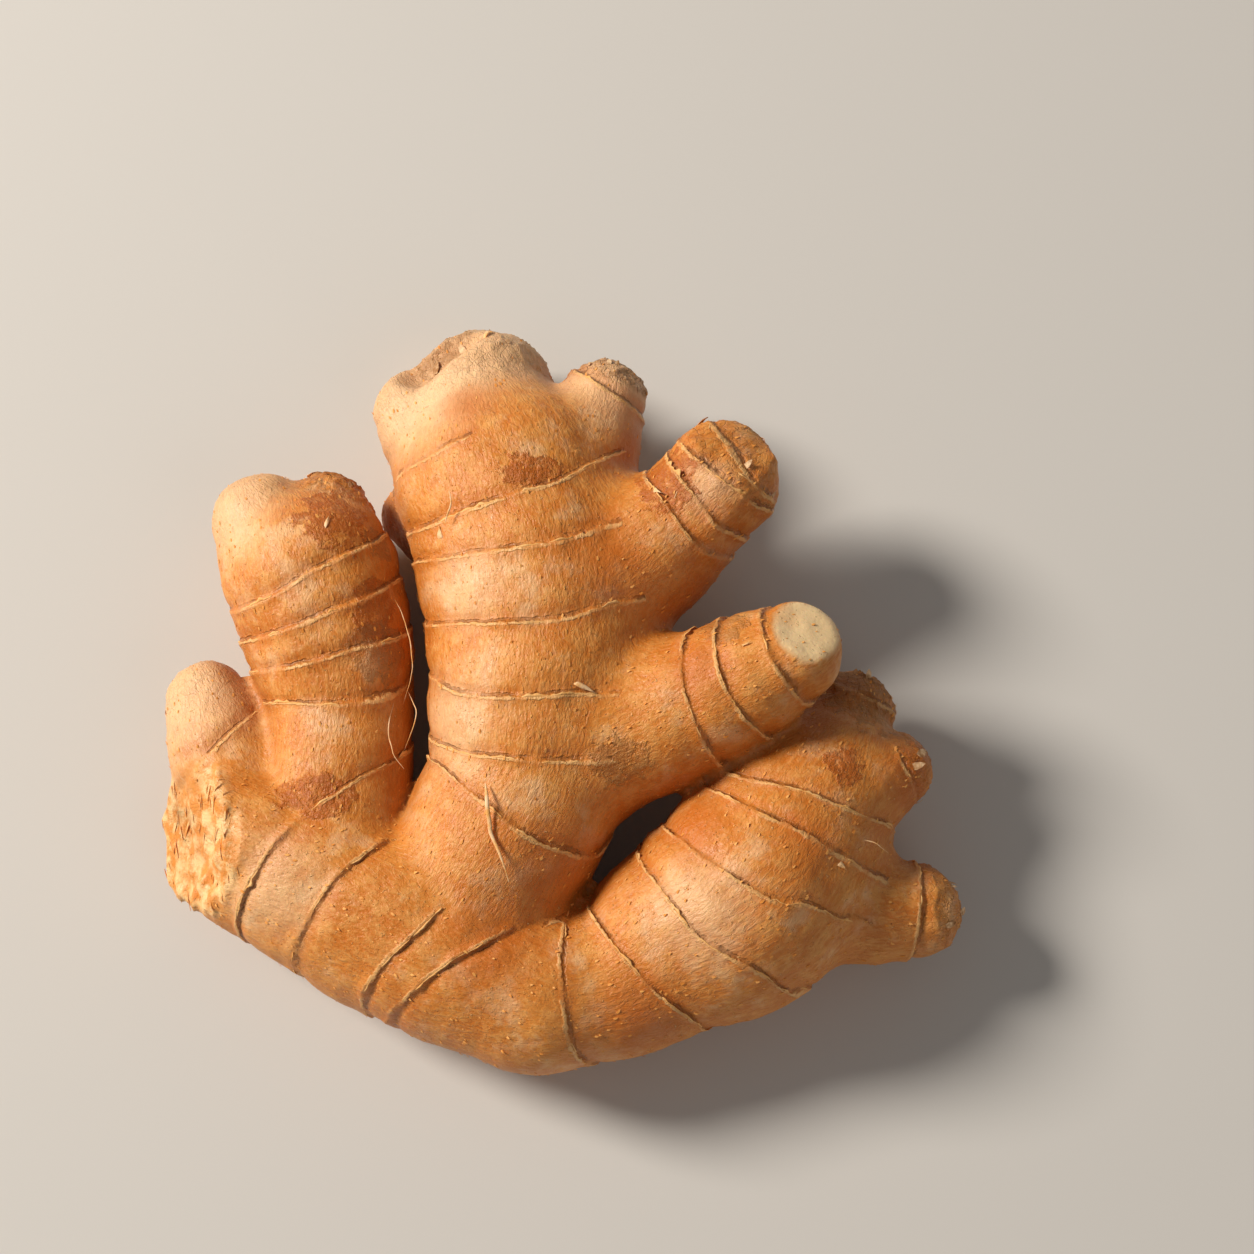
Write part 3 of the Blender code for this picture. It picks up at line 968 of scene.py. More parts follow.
def rough_tips(skin, count):
    """How netted and how brown each point is, from the rough tips."""
    netted, brown = np.zeros(count), np.zeros(count)
    for name, start, full, net, tint in ROUGH_TIPS:
        index = NUMBERS[name]
        near, place = skin.places[index]
        here = skin.share[index][near] * np.clip((place.along - start) / (full - start), 0, 1)
        netted[near] += here * net
        brown[near] += here * tint
    return netted, brown


def torn_share(skin, points):
    """How much each point is part of the base's torn end."""
    past, _ = past_break(BREAKS[0], points)
    return np.clip(1.1 + past / 2.5, 0, 1) * np.clip(2 * skin.share[0] - 0.4, 0, 1)


def refine(mesh, reach):
    """Cuts the faces by the ring lines, on rough tips and on the torn end in four."""
    points = read_vectors(mesh.vertices, "co")
    skin = skin_field(points)
    _, gap = ring_facts(skin, points)
    netted, _ = rough_tips(skin, len(points))
    close = (gap < reach) | (netted > 0.35) | (torn_share(skin, points) > 0.4)
    shape = bmesh.new()
    shape.from_mesh(mesh)
    shape.edges.ensure_lookup_table()
    edges = [e for e in shape.edges if close[e.verts[0].index] or close[e.verts[1].index]]
    bmesh.ops.subdivide_edges(shape, edges=edges, cuts=1, use_grid_fill=True)
    shape.to_mesh(mesh)
    shape.free()
    mesh.update()


def crumple(mesh):
    """Raises crumpled scales on the rough tips."""
    points = read_vectors(mesh.vertices, "co")
    skin = skin_field(points)
    netted, _ = rough_tips(skin, len(points))
    bent = points + 1.2 * np.stack([wander(points, 4.0, seed) for seed in (51, 52, 53)], 1)
    fold = np.abs(wander(bent, 3.4, 61))
    small = np.abs(wander(bent, 1.6, 63))
    height = netted * (0.95 * np.exp(-fold / 0.12) + 0.3 * np.exp(-small / 0.2) - 0.25)
    points += height[:, None] * skin.out
    mesh.vertices.foreach_set("co", points.astype(np.float32).ravel())
    mesh.update()


def surface_facts(mesh, points):
    """Stores what the materials and the trims read from each point of the skin."""
    skin = skin_field(points)
    count = len(points)
    heading = np.zeros((count, 3))
    for index, (near, place) in enumerate(skin.places):
        heading[near] += skin.share[index][near, None] * place.heading
    weights = np.zeros((count, 3))
    for slot in range(3):
        members = [i for i, finger in enumerate(FINGERS) if GRAIN_SLOTS[finger.name] == slot]
        best = np.array(members)[np.argmax(skin.share[members], axis=0)]
        grain = np.zeros((count, 3))
        for index in members:
            near, place = skin.places[index]
            reach = np.hypot(place.right, place.up) + 1e-9
            width = np.mean([p[3] for p in FINGERS[index].spine])
            turned = np.stack([place.right / reach * width, place.up / reach * width, place.along], 1)
            mine = best[near] == index
            rows = np.flatnonzero(near)[mine]
            grain[rows] = turned[mine] + index * 41.7
        weights[:, slot] = skin.share[members].max(0) ** 2
        store(mesh, f"grain_{slot}", grain)
    store(mesh, "grain_shares", weights / weights.sum(1)[:, None])
    heading -= (heading * skin.out).sum(1)[:, None] * skin.out
    heading /= np.linalg.norm(heading, axis=1)[:, None] + 1e-9
    store(mesh, "heading", heading)
    side, gap = ring_facts(skin, points)
    store(mesh, "past_ring", side)
    store(mesh, "ring_gap", gap)
    # How shut in each point is, from the free room along its way out at three reaches; the skin material
    # paints shade there
    closed = np.zeros(count)
    for reach, weight in ((3.0, 0.3), (7.5, 0.35), (14.0, 0.35)):
        free = skin_field(points + skin.out * reach).outside
        closed += weight * np.clip(1 - free / reach, 0, 1)
    store(mesh, "crevice", np.clip(closed * 1.6, 0, 1))
    netted, brown = rough_tips(skin, count)
    store(mesh, "netted", netted)
    store(mesh, "brown", brown)
    torn = torn_share(skin, points)
    store(mesh, "torn", torn)
    crown = np.zeros(count)
    for name, start, full in CROWNS:
        index = NUMBERS[name]
        near, place = skin.places[index]
        crown[near] += skin.share[index][near] * np.clip((place.along - start) / (full - start), 0, 1)
    store(mesh, "crown", np.clip(crown, 0, 1))
    store(mesh, "fleck_places", np.clip(1 - torn - netted * 0.5, 0, 1) * (points[:, 2] > 1))
    store(mesh, "scale_places", np.clip(2 * netted - 0.6, 0, 1))
    store(mesh, "fibre_places", np.clip(2 * torn - 1, 0, 1))
    past, _ = past_break(BREAKS[1], points)
    mine = skin.share[NUMBERS["lower_right"]] > 0.4
    store(mesh, "cut", np.clip(1.6 + past / 0.5, 0, 1) * mine)


def ring_points(finger, ring, spacing=0.4):
    """A closed line of points where a ring meets the finger's skin, in design millimetres, with
    the way out, the way to the tip, and which points lie on the whole root's skin."""
    line = sampled(finger.spine)
    step = line[1:, :3] - line[:-1, :3]
    length = np.linalg.norm(step, axis=1)
    at = np.concatenate([[0], np.cumsum(length)])
    turn = np.linspace(0, 2 * math.pi, round(2 * math.pi * 16 / spacing), endpoint=False)
    run = np.full(len(turn), float(ring[0]))
    reach = np.full(len(turn), 10.0)
    for _ in range(RING_ROUNDS):
        k = np.clip(np.searchsorted(at, run, side="right") - 1, 0, len(length) - 1)
        centre = line[k, :3] + ((run - at[k]) / length[k])[:, None] * step[k]
        ahead = step[k] / length[k][:, None]
        side = np.cross(ahead, (0, 0, 1))
        side /= np.linalg.norm(side, axis=1)[:, None]
        up = np.cross(side, ahead)
        points = centre + reach[:, None] * (np.cos(turn)[:, None] * side + np.sin(turn)[:, None] * up)
        place = around_spine(finger, points)
        reach -= 0.6 * np.clip(place.outside, -2, 2)
        run -= 0.5 * np.clip(ring_distance(place, points, ring), -3, 3)
    for _ in range(2):
        points = points / 2 + (np.roll(points, 1, 0) + np.roll(points, -1, 0)) / 4
    skin = skin_field(points)
    visible = (skin.outside > -1.0) & (skin.outside < 1.5)
    belonging = np.clip((ring_share(skin, finger) - 0.5) / 0.3, 0, 1)
    visible &= belonging > 0.02
    for _ in range(3):
        points = points - np.clip(skin.outside, -1, 1)[:, None] * skin.out
        skin = skin_field(points)
    tip = ahead - (ahead * skin.out).sum(1)[:, None] * skin.out
    tip /= np.linalg.norm(tip, axis=1)[:, None] + 1e-9
    return points, skin.out, tip, visible, belonging


def ring_edge_lines():
    """Every ring's visible line as one mesh of edges, with what the ring edge tree reads."""
    points, edges, outs, tips, strengths = [], [], [], [], []
    for finger in FINGERS:
        for ring in finger.rings + finger.scales:
            line, out, tip, visible, belonging = ring_points(finger, ring)
            visible &= line[:, 2] > 0.6
            first = len(points)
            points.extend(line)
            outs.extend(out)
            tips.extend(tip)
            strengths.extend(belonging * (0.55 + 0.45 * wander(line, 4.0, 41)))
            count = len(line)
            for i in range(count):
                j = (i + 1) % count
                if visible[i] and visible[j]:
                    edges.append((first + i, first + j))
    used = sorted({i for edge in edges for i in edge})
    renamed = {old: new for new, old in enumerate(used)}
    mesh = bpy.data.meshes.new("ring_edges")
    points = to_frame(np.array(points)[used])
    mesh.from_pydata(points.tolist(), [(renamed[a], renamed[b]) for a, b in edges], [])
    store(mesh, "out", np.array(outs)[used])
    store(mesh, "tip", np.array(tips)[used])
    store(mesh, "strength", np.array(strengths)[used])
    return mesh


def new_tree(name, inputs):
    """A new geometry tree with named inputs, its wiring, and its input and output nodes."""
    tree = bpy.data.node_groups.new(name, "GeometryNodeTree")
    tree.interface.new_socket("Geometry", in_out="INPUT", socket_type=GEOMETRY)
    for label, kind, value in inputs:
        socket = tree.interface.new_socket(label, in_out="INPUT", socket_type=kind)
        if value is not None:
            socket.default_value = value
    tree.interface.new_socket("Geometry", in_out="OUTPUT", socket_type=GEOMETRY)
    wiring = Wiring(tree)
    return tree, wiring, wiring.add("NodeGroupInput").outputs, wiring.add("NodeGroupOutput").inputs


def end_tree(w, geometry, material, result):
    """Ends a geometry tree: real copies, dressed in the material."""
    whole = w.add("GeometryNodeRealizeInstances", None, {"Geometry": geometry})
    inputs = {"Geometry": whole.outputs[0], "Material": material}
    dressed = w.add("GeometryNodeSetMaterial", None, inputs)
    w.tree.links.new(dressed.outputs[0], result["Geometry"])


def run_tree(thing, tree, values):
    """Puts the tree on the object as a modifier and sets its inputs by identifier."""
    modifier = thing.modifiers.new(tree.name, "NODES")
    modifier.node_group = tree
    for item in tree.interface.items_tree:
        if item.item_type == "SOCKET" and item.in_out == "INPUT" and item.name in values:
            modifier[item.identifier] = values[item.name]
    return modifier


def read_named(w, name, kind="FLOAT"):
    """An attribute of the geometry inside a geometry tree."""
    node = w.add("GeometryNodeInputNamedAttribute", {"data_type": kind}, {"Name": name})
    return node.outputs["Attribute"]


def ring_edge_tree():
    """Turns ring lines into ragged, lifted strips of dry skin."""
    tree, w, given, result = new_tree(
        "ring_edge",
        [
            ("Width", FLOAT, 0.00045),
            ("Lift", FLOAT, 0.00015),
            ("Sink", FLOAT, 0.0002),
            ("Gaps", FLOAT, 0.46),
            ("Material", MATERIAL, None),
        ],
    )
    out = read_named(w, "out", "FLOAT_VECTOR")
    tip = read_named(w, "tip", "FLOAT_VECTOR")
    strength = read_named(w, "strength")
    position = w.add("GeometryNodeInputPosition").outputs[0]
    ragged = w.noise(position, 1500.0, 2.0, 0.6)
    slow = w.noise(position, 260.0, 2.0, 0.5)
    size = w.times(w.ramp(ragged, 0.3, 0.7, 0.15, 1.5), w.ramp(slow, 0.35, 0.7, 0.3, 1.3))
    size = w.times(size, w.ramp(slow, 0.64, 0.74, 1.0, 2.6))
    size = w.times(size, w.ramp(strength, 0.1, 0.9, 0.5, 1.2))
    width = w.times(size, given["Width"])
    lift = w.times(w.ramp(slow, 0.3, 0.7, 0.2, 1.6), given["Lift"])
    near = w.vector("ADD", w.scaled(tip, w.times(width, 0.45)), w.scaled(out, lift))
    far = w.vector("ADD", w.scaled(tip, w.times(width, 0.55)), w.scaled(out, w.times(lift, -0.15)))
    start = w.add(
        "GeometryNodeSetPosition",
        None,
        {"Geometry": given["Geometry"], "Offset": w.scaled(out, w.times(given["Sink"], -1.0))},
    )
    first = w.add("GeometryNodeExtrudeMesh", {"mode": "EDGES"}, {"Mesh": start.outputs[0], "Offset": near})
    second = w.add(
        "GeometryNodeExtrudeMesh",
        {"mode": "EDGES"},
        {"Mesh": first.outputs["Mesh"], "Selection": first.outputs["Top"], "Offset": far},
    )
    gone = w.math("LESS_THAN", w.math("ADD", w.times(strength, 0.5), w.times(slow, 0.5)), given["Gaps"])
    kept = w.add(
        "GeometryNodeDeleteGeometry",
        {"domain": "FACE"},
        {"Geometry": second.outputs["Mesh"], "Selection": gone},
    )
    end_tree(w, kept.outputs[0], given["Material"], result)
    return tree


def leaf_mesh(narrow):
    """A small bent flake, one unit long along +Y, that lies on the XY plane."""
    rows = [(0.0, 0.16, 0.0), (0.35, 0.24, 0.10), (0.7, 0.17, 0.16), (1.0, 0.03, 0.12)]
    rows = [(y, half * narrow, z * narrow) for y, half, z in rows]
    points, faces = [], []
    for y, half, z in rows:
        points += [(-half, y - 0.4, z), (half, y - 0.4, z + 0.04)]
    for i in range(len(rows) - 1):
        a = 2 * i
        faces.append((a, a + 1, a + 3, a + 2))
    mesh = bpy.data.meshes.new("leaf")
    mesh.from_pydata(points, [], faces)
    return mesh


def fleck_tree():
    """Scatters small flakes over the skin, pointing along the finger."""
    tree, w, given, result = new_tree(
        "flecks",
        [
            ("Leaf", "NodeSocketObject", None),
            ("Places", "NodeSocketString", "fleck_places"),
            ("Upright", FLOAT, 0.0),
            ("Density", FLOAT, 60000.0),
            ("Length", FLOAT, 0.0009),
            ("Seed", "NodeSocketInt", 7),
            ("Material", MATERIAL, None),
        ],
    )
    places = w.add("GeometryNodeInputNamedAttribute", {"data_type": "FLOAT"}, {"Name": given["Places"]})
    density = w.times(places.outputs["Attribute"], given["Density"])
    spread = w.add(
        "GeometryNodeDistributePointsOnFaces",
        {"distribute_method": "RANDOM"},
        {"Mesh": given["Geometry"], "Density": density, "Seed": given["Seed"]},
    )
    heading = w.vector("ADD", read_named(w, "heading", "FLOAT_VECTOR"), (0.0, 0.0, 0.0))
    sway = w.add(
        "FunctionNodeRandomValue",
        {"data_type": "FLOAT_VECTOR"},
        {0: (-0.35, -0.35, -0.35), 1: (0.35, 0.35, 0.35), "Seed": 3},
    )
    lift = w.scaled(spread.outputs["Normal"], given["Upright"])
    ahead = w.vector("ADD", w.vector("ADD", heading, lift), sway.outputs[0])
    upright = w.add(
        "FunctionNodeAlignRotationToVector",
        {"axis": "Y", "pivot_axis": "AUTO"},
        {"Vector": ahead},
    )
    flat = w.add(
        "FunctionNodeAlignRotationToVector",
        {"axis": "Z", "pivot_axis": "Y"},
        {"Rotation": upright.outputs[0], "Vector": spread.outputs["Normal"]},
    )
    size = w.add("FunctionNodeRandomValue", {"data_type": "FLOAT"}, {2: 0.35, 3: 1.35, "Seed": 5})
    leaf = w.add("GeometryNodeObjectInfo", None, {"Object": given["Leaf"]})
    copies = w.add(
        "GeometryNodeInstanceOnPoints",
        None,
        {
            "Points": spread.outputs["Points"],
            "Instance": leaf.outputs["Geometry"],
            "Rotation": flat.outputs[0],
            "Scale": w.times(size.outputs[1], given["Length"]),
        },
    )
    end_tree(w, copies.outputs[0], given["Material"], result)
    return tree


# Loose strands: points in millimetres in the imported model's frame, then the widest radius
STRANDS = [
    (
        [
            (-12.6, -22.0, 37.6),
            (-12.3, -25.5, 38.3),
            (-11.6, -30.4, 37.3),
            (-9.8, -35.5, 36.6),
            (-8.0, -40.2, 34.6),
        ],
        0.42,
    ),
    (
        [
            (-30.5, 14.5, 28.6),
            (-28.3, 9.5, 27.6),
            (-27.3, 4.0, 27.2),
            (-27.9, -1.5, 25.6),
            (-29.4, -5.0, 23.6),
        ],
        0.11,
    ),
    ([(-30.6, -4.5, 26.0), (-31.4, -9.5, 26.4), (-30.4, -14.5, 27.0), (-28.0, -18.2, 26.8)], 0.12),
    ([(-28.0, -2.0, 24.0), (-26.6, -6.0, 25.5), (-27.2, -10.5, 26.0), (-28.8, -14.0, 24.5)], 0.1),
    ([(49.5, -33.4, 27.0), (53.0, -31.0, 29.4), (58.0, -31.5, 29.8), (61.5, -33.6, 27.6)], 0.14),
    ([(-20.9, 27.0, 37.0), (-19.6, 30.5, 38.6), (-20.4, 33.5, 38.0)], 0.2),
]


def strand_lines():
    """The loose strands as one mesh of edges, with the radius at each point."""
    points, edges, widths = [], [], []
    for line, width in STRANDS:
        spine = np.array([(*p, width) for p in line], float)
        ends = np.vstack([2 * spine[0] - spine[1], spine, 2 * spine[-1] - spine[-2]])
        first = len(points)
        for i in range(len(spine) - 1):
            points += [curve_point(*ends[i : i + 4], t)[:3] for t in np.arange(6) / 6]
        count = len(points) - first
        along = np.linspace(0, 1, count)
        widths.extend(width * (0.15 + 0.85 * np.sin(math.pi * along**0.7)))
        edges.extend((first + i, first + i + 1) for i in range(count - 1))
    points = np.array(points)
    points += 0.25 * np.stack([wander(points, 2.2, seed) for seed in (71, 72, 73)], 1)
    mesh = bpy.data.meshes.new("loose_strands")
    mesh.from_pydata((points * MM).tolist(), edges, [])
    store(mesh, "width", np.array(widths) * MM)
    return mesh


def strand_tree():
    """Turns lines into thin, slightly flat strands."""
    inputs = [("Sides", "NodeSocketInt", 7), ("Material", MATERIAL, None)]
    tree, w, given, result = new_tree("strand", inputs)
    curve = w.add("GeometryNodeMeshToCurve", None, {"Mesh": given["Geometry"]})
    ring = w.add("GeometryNodeCurvePrimitiveCircle", None, {"Resolution": given["Sides"], "Radius": 1.0})
    flat = w.add("GeometryNodeTransform", None, {"Geometry": ring.outputs[0], "Scale": (1.0, 0.45, 1.0)})
    inputs = {"Curve": curve.outputs[0], "Profile Curve": flat.outputs[0], "Scale": read_named(w, "width")}
    made = w.add("GeometryNodeCurveToMesh", None, {**inputs, "Fill Caps": True})
    end_tree(w, made.outputs[0], given["Material"], result)
    return tree


# Lifted flakes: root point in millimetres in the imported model's frame, heading, length, width, lift
FLAKES = [
    ((3.2, -3.6, 39.2), (0.9, -0.4, 0.0), 4.2, 0.8, 0.35),
    ((-22.4, 24.6, 34.6), (-0.1, 1.0, 0.2), 2.6, 1.0, 0.35),
    ((17.4, 33.6, 38.0), (0.8, -0.5, -0.1), 2.4, 1.0, 0.35),
    ((21.2, 30.6, 37.6), (0.5, 0.8, 0.0), 2.2, 1.0, 0.3),
    ((33.6, 2.4, 42.0), (0.9, 0.3, 0.1), 1.6, 0.7, 0.3),
    ((-43.6, 27.0, 34.0), (0.3, 0.9, 0.1), 2.8, 0.8, 0.25),
    ((-15.4, 70.0, 26.0), (-0.3, 0.8, 0.4), 2.4, 1.0, 0.6),
    ((49.5, -35.5, 30.6), (0.8, -0.4, 0.3), 1.8, 0.8, 0.5),
]


def flake_mesh():
    """Bent flakes with uneven edges that stand on the skin at their root."""
    points, faces = [], []
    rows, columns = 7, 4
    for number, (root, heading, length, width, lift) in enumerate(FLAKES):
        root = np.array(root, float) + FOOTPRINT_CENTRE
        for _ in range(4):
            skin = skin_field(root[None])
            root = root - skin.outside[0] * skin.out[0]
        out = skin.out[0]
        ahead = np.array(heading, float)
        ahead -= (ahead @ out) * out
        ahead /= np.linalg.norm(ahead)
        side = np.cross(ahead, out)
        first = len(points)
        for r in range(rows):
            t = r / (rows - 1)
            half = width / 2 * (1 - t**2.2) * (0.75 + 0.5 * math.sin(3.7 * t + number)) + 0.05
            for c in range(columns):
                across = 2 * c / (columns - 1) - 1
                rise = lift * (1.6 * t - 0.9 * t * t) + 0.12 * math.sin(5 * t + 2 * across + number)
                rise -= 0.25 if r == 0 else 0
                bump = 0.3 * math.sin(9.1 * t + 4.3 * across * (number + 1))
                points.append(root + ahead * (length * t + bump * t) + side * across * half + out * rise)
        for r in range(rows - 1):
            for c in range(columns - 1):
                a = first + r * columns + c
                faces.append((a, a + 1, a + columns + 1, a + columns))
    mesh = bpy.data.meshes.new("loose_flakes")
    mesh.from_pydata(to_frame(points).tolist(), [], faces)
    return mesh


def colour_setting(name, description, default):
    """A colour that a user may change."""
    return bpy.props.FloatVectorProperty(
        name=name, description=description, default=default, size=3, min=0, max=1, subtype="COLOR"
    )


def size_setting(name, description, default, most):
    """A length in metres that a user may change."""
    return bpy.props.FloatProperty(
        name=name,
        description=description,
        default=default,
        min=0,
        max=most,
        subtype="DISTANCE",
        unit="LENGTH",
    )


def power_setting(name, description, default):
    """A light's power in watts that a user may change."""
    return bpy.props.FloatProperty(
        name=name, description=description, default=default, min=0, subtype="POWER", unit="POWER"
    )


class SkinSettings(bpy.types.PropertyGroup):
    """Colours and sizes of the skin."""

    buff: colour_setting("Buff", "Common colour of the skin", (0.76, 0.275, 0.042))
    buff_deep: colour_setting("Deep buff", "Colour of the skin's darker clouds", (0.66, 0.205, 0.024))
    buff_pale: colour_setting("Pale buff", "Colour of the dry, lit skin", (0.86, 0.42, 0.115))
    # The orange is also the painted shade of the broad orange patches and of the fine wrinkles' grooves
    orange_and_painted_shade: colour_setting("Orange", "Colour of the fresher streaks", (0.60, 0.15, 0.014))
    # Painted shade: the deeper orange laid over the gaps between fingers and the hollows
    painted_shade_orange: colour_setting("Deep orange", "Colour in the gaps and hollows", (0.40, 0.11, 0.010))
    rubbed: colour_setting("Rubbed", "Colour where the skin is rubbed off", (0.45, 0.10, 0.003))
    # The crown colour is also the painted light of the broad pale patches
    crown: colour_setting("Crown", "Colour of the dry, pale crowns", (0.93, 0.64, 0.37))
    mould: colour_setting("Mould", "Grey-brown of old, dry skin", (0.36, 0.155, 0.045))
    torn: colour_setting("Torn", "Colour of the torn end", (0.93, 0.60, 0.27))
    flesh: colour_setting("Flesh", "Colour of the cut face", (1.0, 0.71, 0.38))
    paper: colour_setting("Paper", "Colour of the papery ring edges", (0.90, 0.52, 0.20))
    # The crack colour is also the painted shade in the rings' grooves
    crack: colour_setting("Crack", "Colour of cracks and pits", (0.22, 0.07, 0.015))
    grid: size_setting("Grid", "Size of the skin's faces", 0.00112, 0.005)
    relief: size_setting("Relief", "Depth of the finest wrinkles", 0.00034, 0.002)
    edge_width: size_setting("Edge width", "Width of the papery ring edges", 0.00045, 0.004)
    fleck_length: size_setting("Fleck length", "Length of the small flakes", 0.00075, 0.004)
    scale_length: size_setting("Scale length", "Length of the scales on rough tips", 0.0026, 0.006)
    fibre_length: size_setting("Fibre length", "Length of the fibres on the torn end", 0.003, 0.01)


class StageSettings(bpy.types.PropertyGroup):
    """The floor, the lights and the camera."""

    floor: colour_setting("Floor", "Colour of the floor", (0.66, 0.64, 0.61))
    key_power: power_setting("Key light", "Power of the strong light", 36.0)
    fill_power: power_setting("Fill light", "Power of the weak light", 2.5)
    elevation: bpy.props.FloatProperty(
        name="Camera elevation",
        description="Angle of the camera over the floor",
        default=math.radians(76),
        subtype="ANGLE",
        unit="ROTATION",
    )
    distance: size_setting("Camera distance", "From the camera to what it looks at", 0.463, 5.0)


class GingerSettings(bpy.types.PropertyGroup):
    """All settings of the ginger root."""

    skin: bpy.props.PointerProperty(type=SkinSettings, name="Skin", description="The skin's settings")
    stage: bpy.props.PointerProperty(type=StageSettings, name="Stage", description="The stage's settings")


class GINGER_OT_skin(bpy.types.Operator):
    """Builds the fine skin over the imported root, which it stands for."""

    bl_idname = "ginger.skin"
    bl_label = "Skin"

    def execute(self, context):
        look = context.scene.ginger.skin
        mesh = gridded(merged_copy(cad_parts[NODE]), look.grid / MM)
        settle(mesh, FIRST_ROUNDS)
        refine(mesh, RING_REACH)
        settle(mesh, LAST_ROUNDS)
        crumple(mesh)
        points = read_vectors(mesh.vertices, "co")
        surface_facts(mesh, points)
        points[:, 2] = np.maximum(points[:, 2], 0)
        mesh.vertices.foreach_set("co", to_frame(points).astype(np.float32).ravel())
        mesh.update()
        mesh.shade_smooth()
        mesh.materials.clear()
        mesh.materials.append(skin_material(look))
        skin = new_object("fine_skin", mesh)
        belongs(skin)
        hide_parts(NODE)
        return {"FINISHED"}


class GINGER_OT_ring_edges(bpy.types.Operator):
    """Adds the ragged papery edges that stand along the ring scars."""

    bl_idname = "ginger.ring_edges"
    bl_label = "Ring edges"

    def execute(self, context):
        look = context.scene.ginger.skin
        edges = new_object("ring_edges", ring_edge_lines())
        paper = paper_material("dry_paper", look.paper, look.buff_pale)
        run_tree(edges, ring_edge_tree(), {"Width": look.edge_width, "Material": paper})
        give_wall(edges, EDGE_WALL, offset=0)
        edges.data.shade_smooth()
        belongs(edges)
        return {"FINISHED"}


class GINGER_OT_flecks(bpy.types.Operator):
    """Scatters small flakes over the skin, scales over the rough tips and fibres over the torn end."""

    bl_idname = "ginger.flecks"
    bl_label = "Flecks, scales and fibres"

    def execute(self, context):
        look = context.scene.ginger.skin
        wide, thin = new_object("wide_leaf", leaf_mesh(1.0)), new_object("thin_leaf", leaf_mesh(0.22))
        pale = paper_material("fleck_paper", look.buff_pale, look.buff)
        dull = paper_material("scale_paper", look.crown, look.mould)
        raw = paper_material("torn_fibre", look.torn, look.buff)
        kinds = (
            ("flecks", "fleck_places", 80000.0, look.fleck_length, 0.1, 7, pale, wide),
            ("scales", "scale_places", 30000.0, look.scale_length, 0.12, 11, dull, wide),
            ("torn_fibres", "fibre_places", 90000.0, look.fibre_length, 0.05, 13, raw, thin),
        )
        tree = fleck_tree()
        for name, places, density, length, upright, seed, paper, leaf in kinds:
            mesh = bpy.data.objects["fine_skin"].data.copy()
            if name == "torn_fibres":
                across = np.tile((0.1, 1.0, 0.25), (len(mesh.vertices), 1))
                mesh.attributes["heading"].data.foreach_set("vector", across.astype(np.float32).ravel())
            piece = new_object(name, mesh)
            values = {"Leaf": leaf, "Places": places, "Density": density, "Length": length}
            values.update({"Upright": upright, "Seed": seed, "Material": paper})
            run_tree(piece, tree, values)
            make_plain(piece)
            give_wall(piece, FLECK_WALL)
            belongs(piece)
        bpy.data.objects.remove(wide)
        bpy.data.objects.remove(thin)
        return {"FINISHED"}


class GINGER_OT_loose(bpy.types.Operator):
    """Adds the loose sliver, the hair roots and the larger lifted flakes."""

    bl_idname = "ginger.loose"
    bl_label = "Sliver, hair roots and flakes"

    def execute(self, context):
        look = context.scene.ginger.skin
        paper = paper_material("loose_paper", look.crown, look.buff_pale)
        strands = new_object("loose_strands", strand_lines())
        run_tree(strands, strand_tree(), {"Material": paper})
        make_plain(strands)
        strands.data.shade_smooth()
        belongs(strands)
        flakes = new_object("loose_flakes", flake_mesh())
        flakes.data.materials.append(paper)
        give_wall(flakes, FLAKE_WALL)
        flakes.data.shade_smooth()
        belongs(flakes)
        return {"FINISHED"}


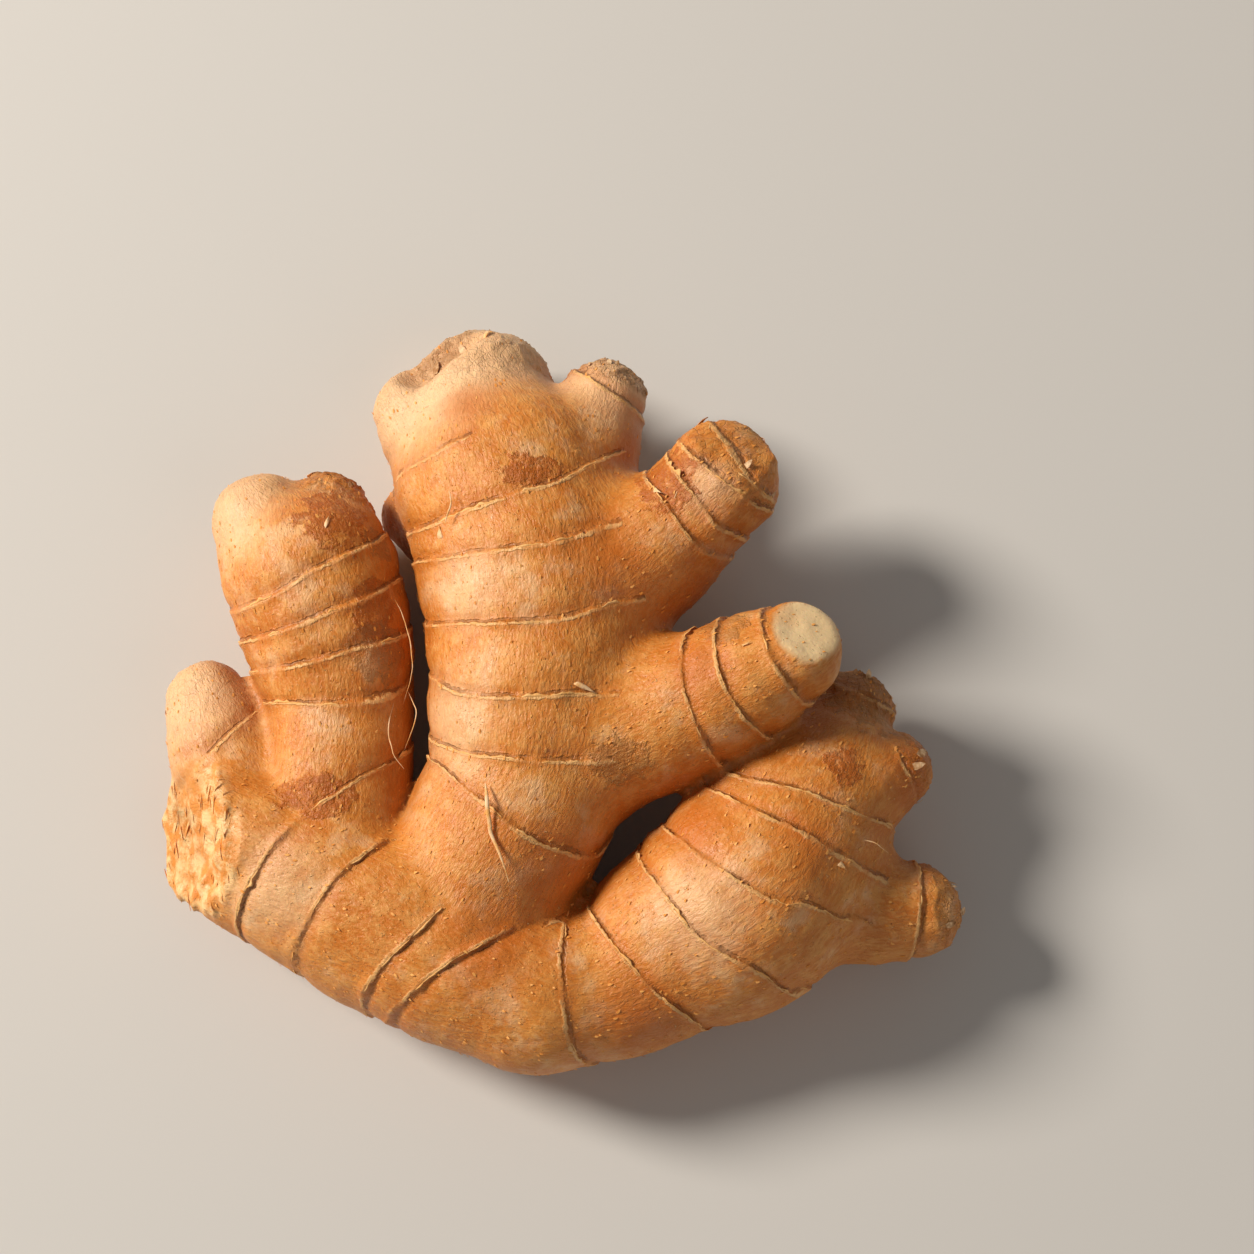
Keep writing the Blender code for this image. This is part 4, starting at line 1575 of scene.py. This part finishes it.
class GINGER_OT_stage(bpy.types.Operator):
    """Adds the floor, the soft studio lights and the camera."""

    bl_idname = "ginger.stage"
    bl_label = "Stage"

    def execute(self, context):
        scene = context.scene
        look = scene.ginger.stage
        shape = bmesh.new()
        bmesh.ops.create_grid(shape, x_segments=1, y_segments=1, size=3.0)
        mesh = bpy.data.meshes.new("floor")
        shape.to_mesh(mesh)
        shape.free()
        matt = bpy.data.materials.new("matt_floor")
        matt.use_nodes = True
        shader = matt.node_tree.nodes["Principled BSDF"]
        shader.inputs["Base Color"].default_value = (*look.floor, 1)
        shader.inputs["Roughness"].default_value = 0.8
        mesh.materials.append(matt)
        new_object("floor", mesh)

        lights = (
            ("key_light", KEY_PLACE, 0.5, look.key_power, (1.0, 0.93, 0.84)),
            ("fill_light", FILL_PLACE, 1.2, look.fill_power, (1.0, 0.95, 0.9)),
        )
        for name, place, size, power, tint in lights:
            light = bpy.data.lights.new(name, "AREA")
            light.shape = "DISK"
            light.size = size
            light.energy = power
            light.color = tint
            lamp = new_object(name, light)
            lamp.location = place
            ahead = Vector(LIGHT_AIM) - Vector(place)
            lamp.rotation_euler = ahead.to_track_quat("-Z", "Y").to_euler()

        world = bpy.data.worlds.new("soft_room")
        world.use_nodes = True
        background = world.node_tree.nodes["Background"]
        background.inputs["Color"].default_value = (1.0, 0.96, 0.92, 1)
        background.inputs["Strength"].default_value = 0.16
        scene.world = world
        scene.view_settings.view_transform = "Standard"

        camera = bpy.data.cameras.new("camera")
        camera.lens = 70
        camera.sensor_width = 36
        camera.clip_start = 0.01
        camera.clip_end = 20
        eye = new_object("camera", camera)
        back = Vector((0, -math.cos(look.elevation), math.sin(look.elevation)))
        eye.location = Vector(CAMERA_AIM) + back * look.distance
        eye.rotation_mode = "QUATERNION"
        eye.rotation_quaternion = (-back).to_track_quat("-Z", "Y")
        scene.camera = eye
        return {"FINISHED"}


class GINGER_PT_panel(bpy.types.Panel):
    """Lists the steps and the settings."""

    bl_idname = "GINGER_PT_panel"
    bl_label = "Ginger root"
    bl_space_type = "VIEW_3D"
    bl_region_type = "UI"
    bl_category = "Ginger root"

    def draw(self, context):
        for step in STEPS:
            self.layout.operator(step.bl_idname)
        for group in (context.scene.ginger.skin, context.scene.ginger.stage):
            box = self.layout.box()
            for name in group.__annotations__:
                box.prop(group, name)


STEPS = (GINGER_OT_skin, GINGER_OT_ring_edges, GINGER_OT_flecks, GINGER_OT_loose, GINGER_OT_stage)
CLASSES = (SkinSettings, StageSettings, GingerSettings, *STEPS, GINGER_PT_panel)


def register():
    for cls in CLASSES:
        bpy.utils.register_class(cls)
    bpy.types.Scene.ginger = bpy.props.PointerProperty(
        type=GingerSettings, name="Ginger root", description="Settings of the ginger root"
    )


def unregister():
    del bpy.types.Scene.ginger
    for cls in reversed(CLASSES):
        bpy.utils.unregister_class(cls)


def main():
    """Builds every piece in order."""
    register()
    bpy.ops.ginger.skin()
    bpy.ops.ginger.ring_edges()
    bpy.ops.ginger.flecks()
    bpy.ops.ginger.loose()
    bpy.ops.ginger.stage()


if __name__ == "__main__":
    main()
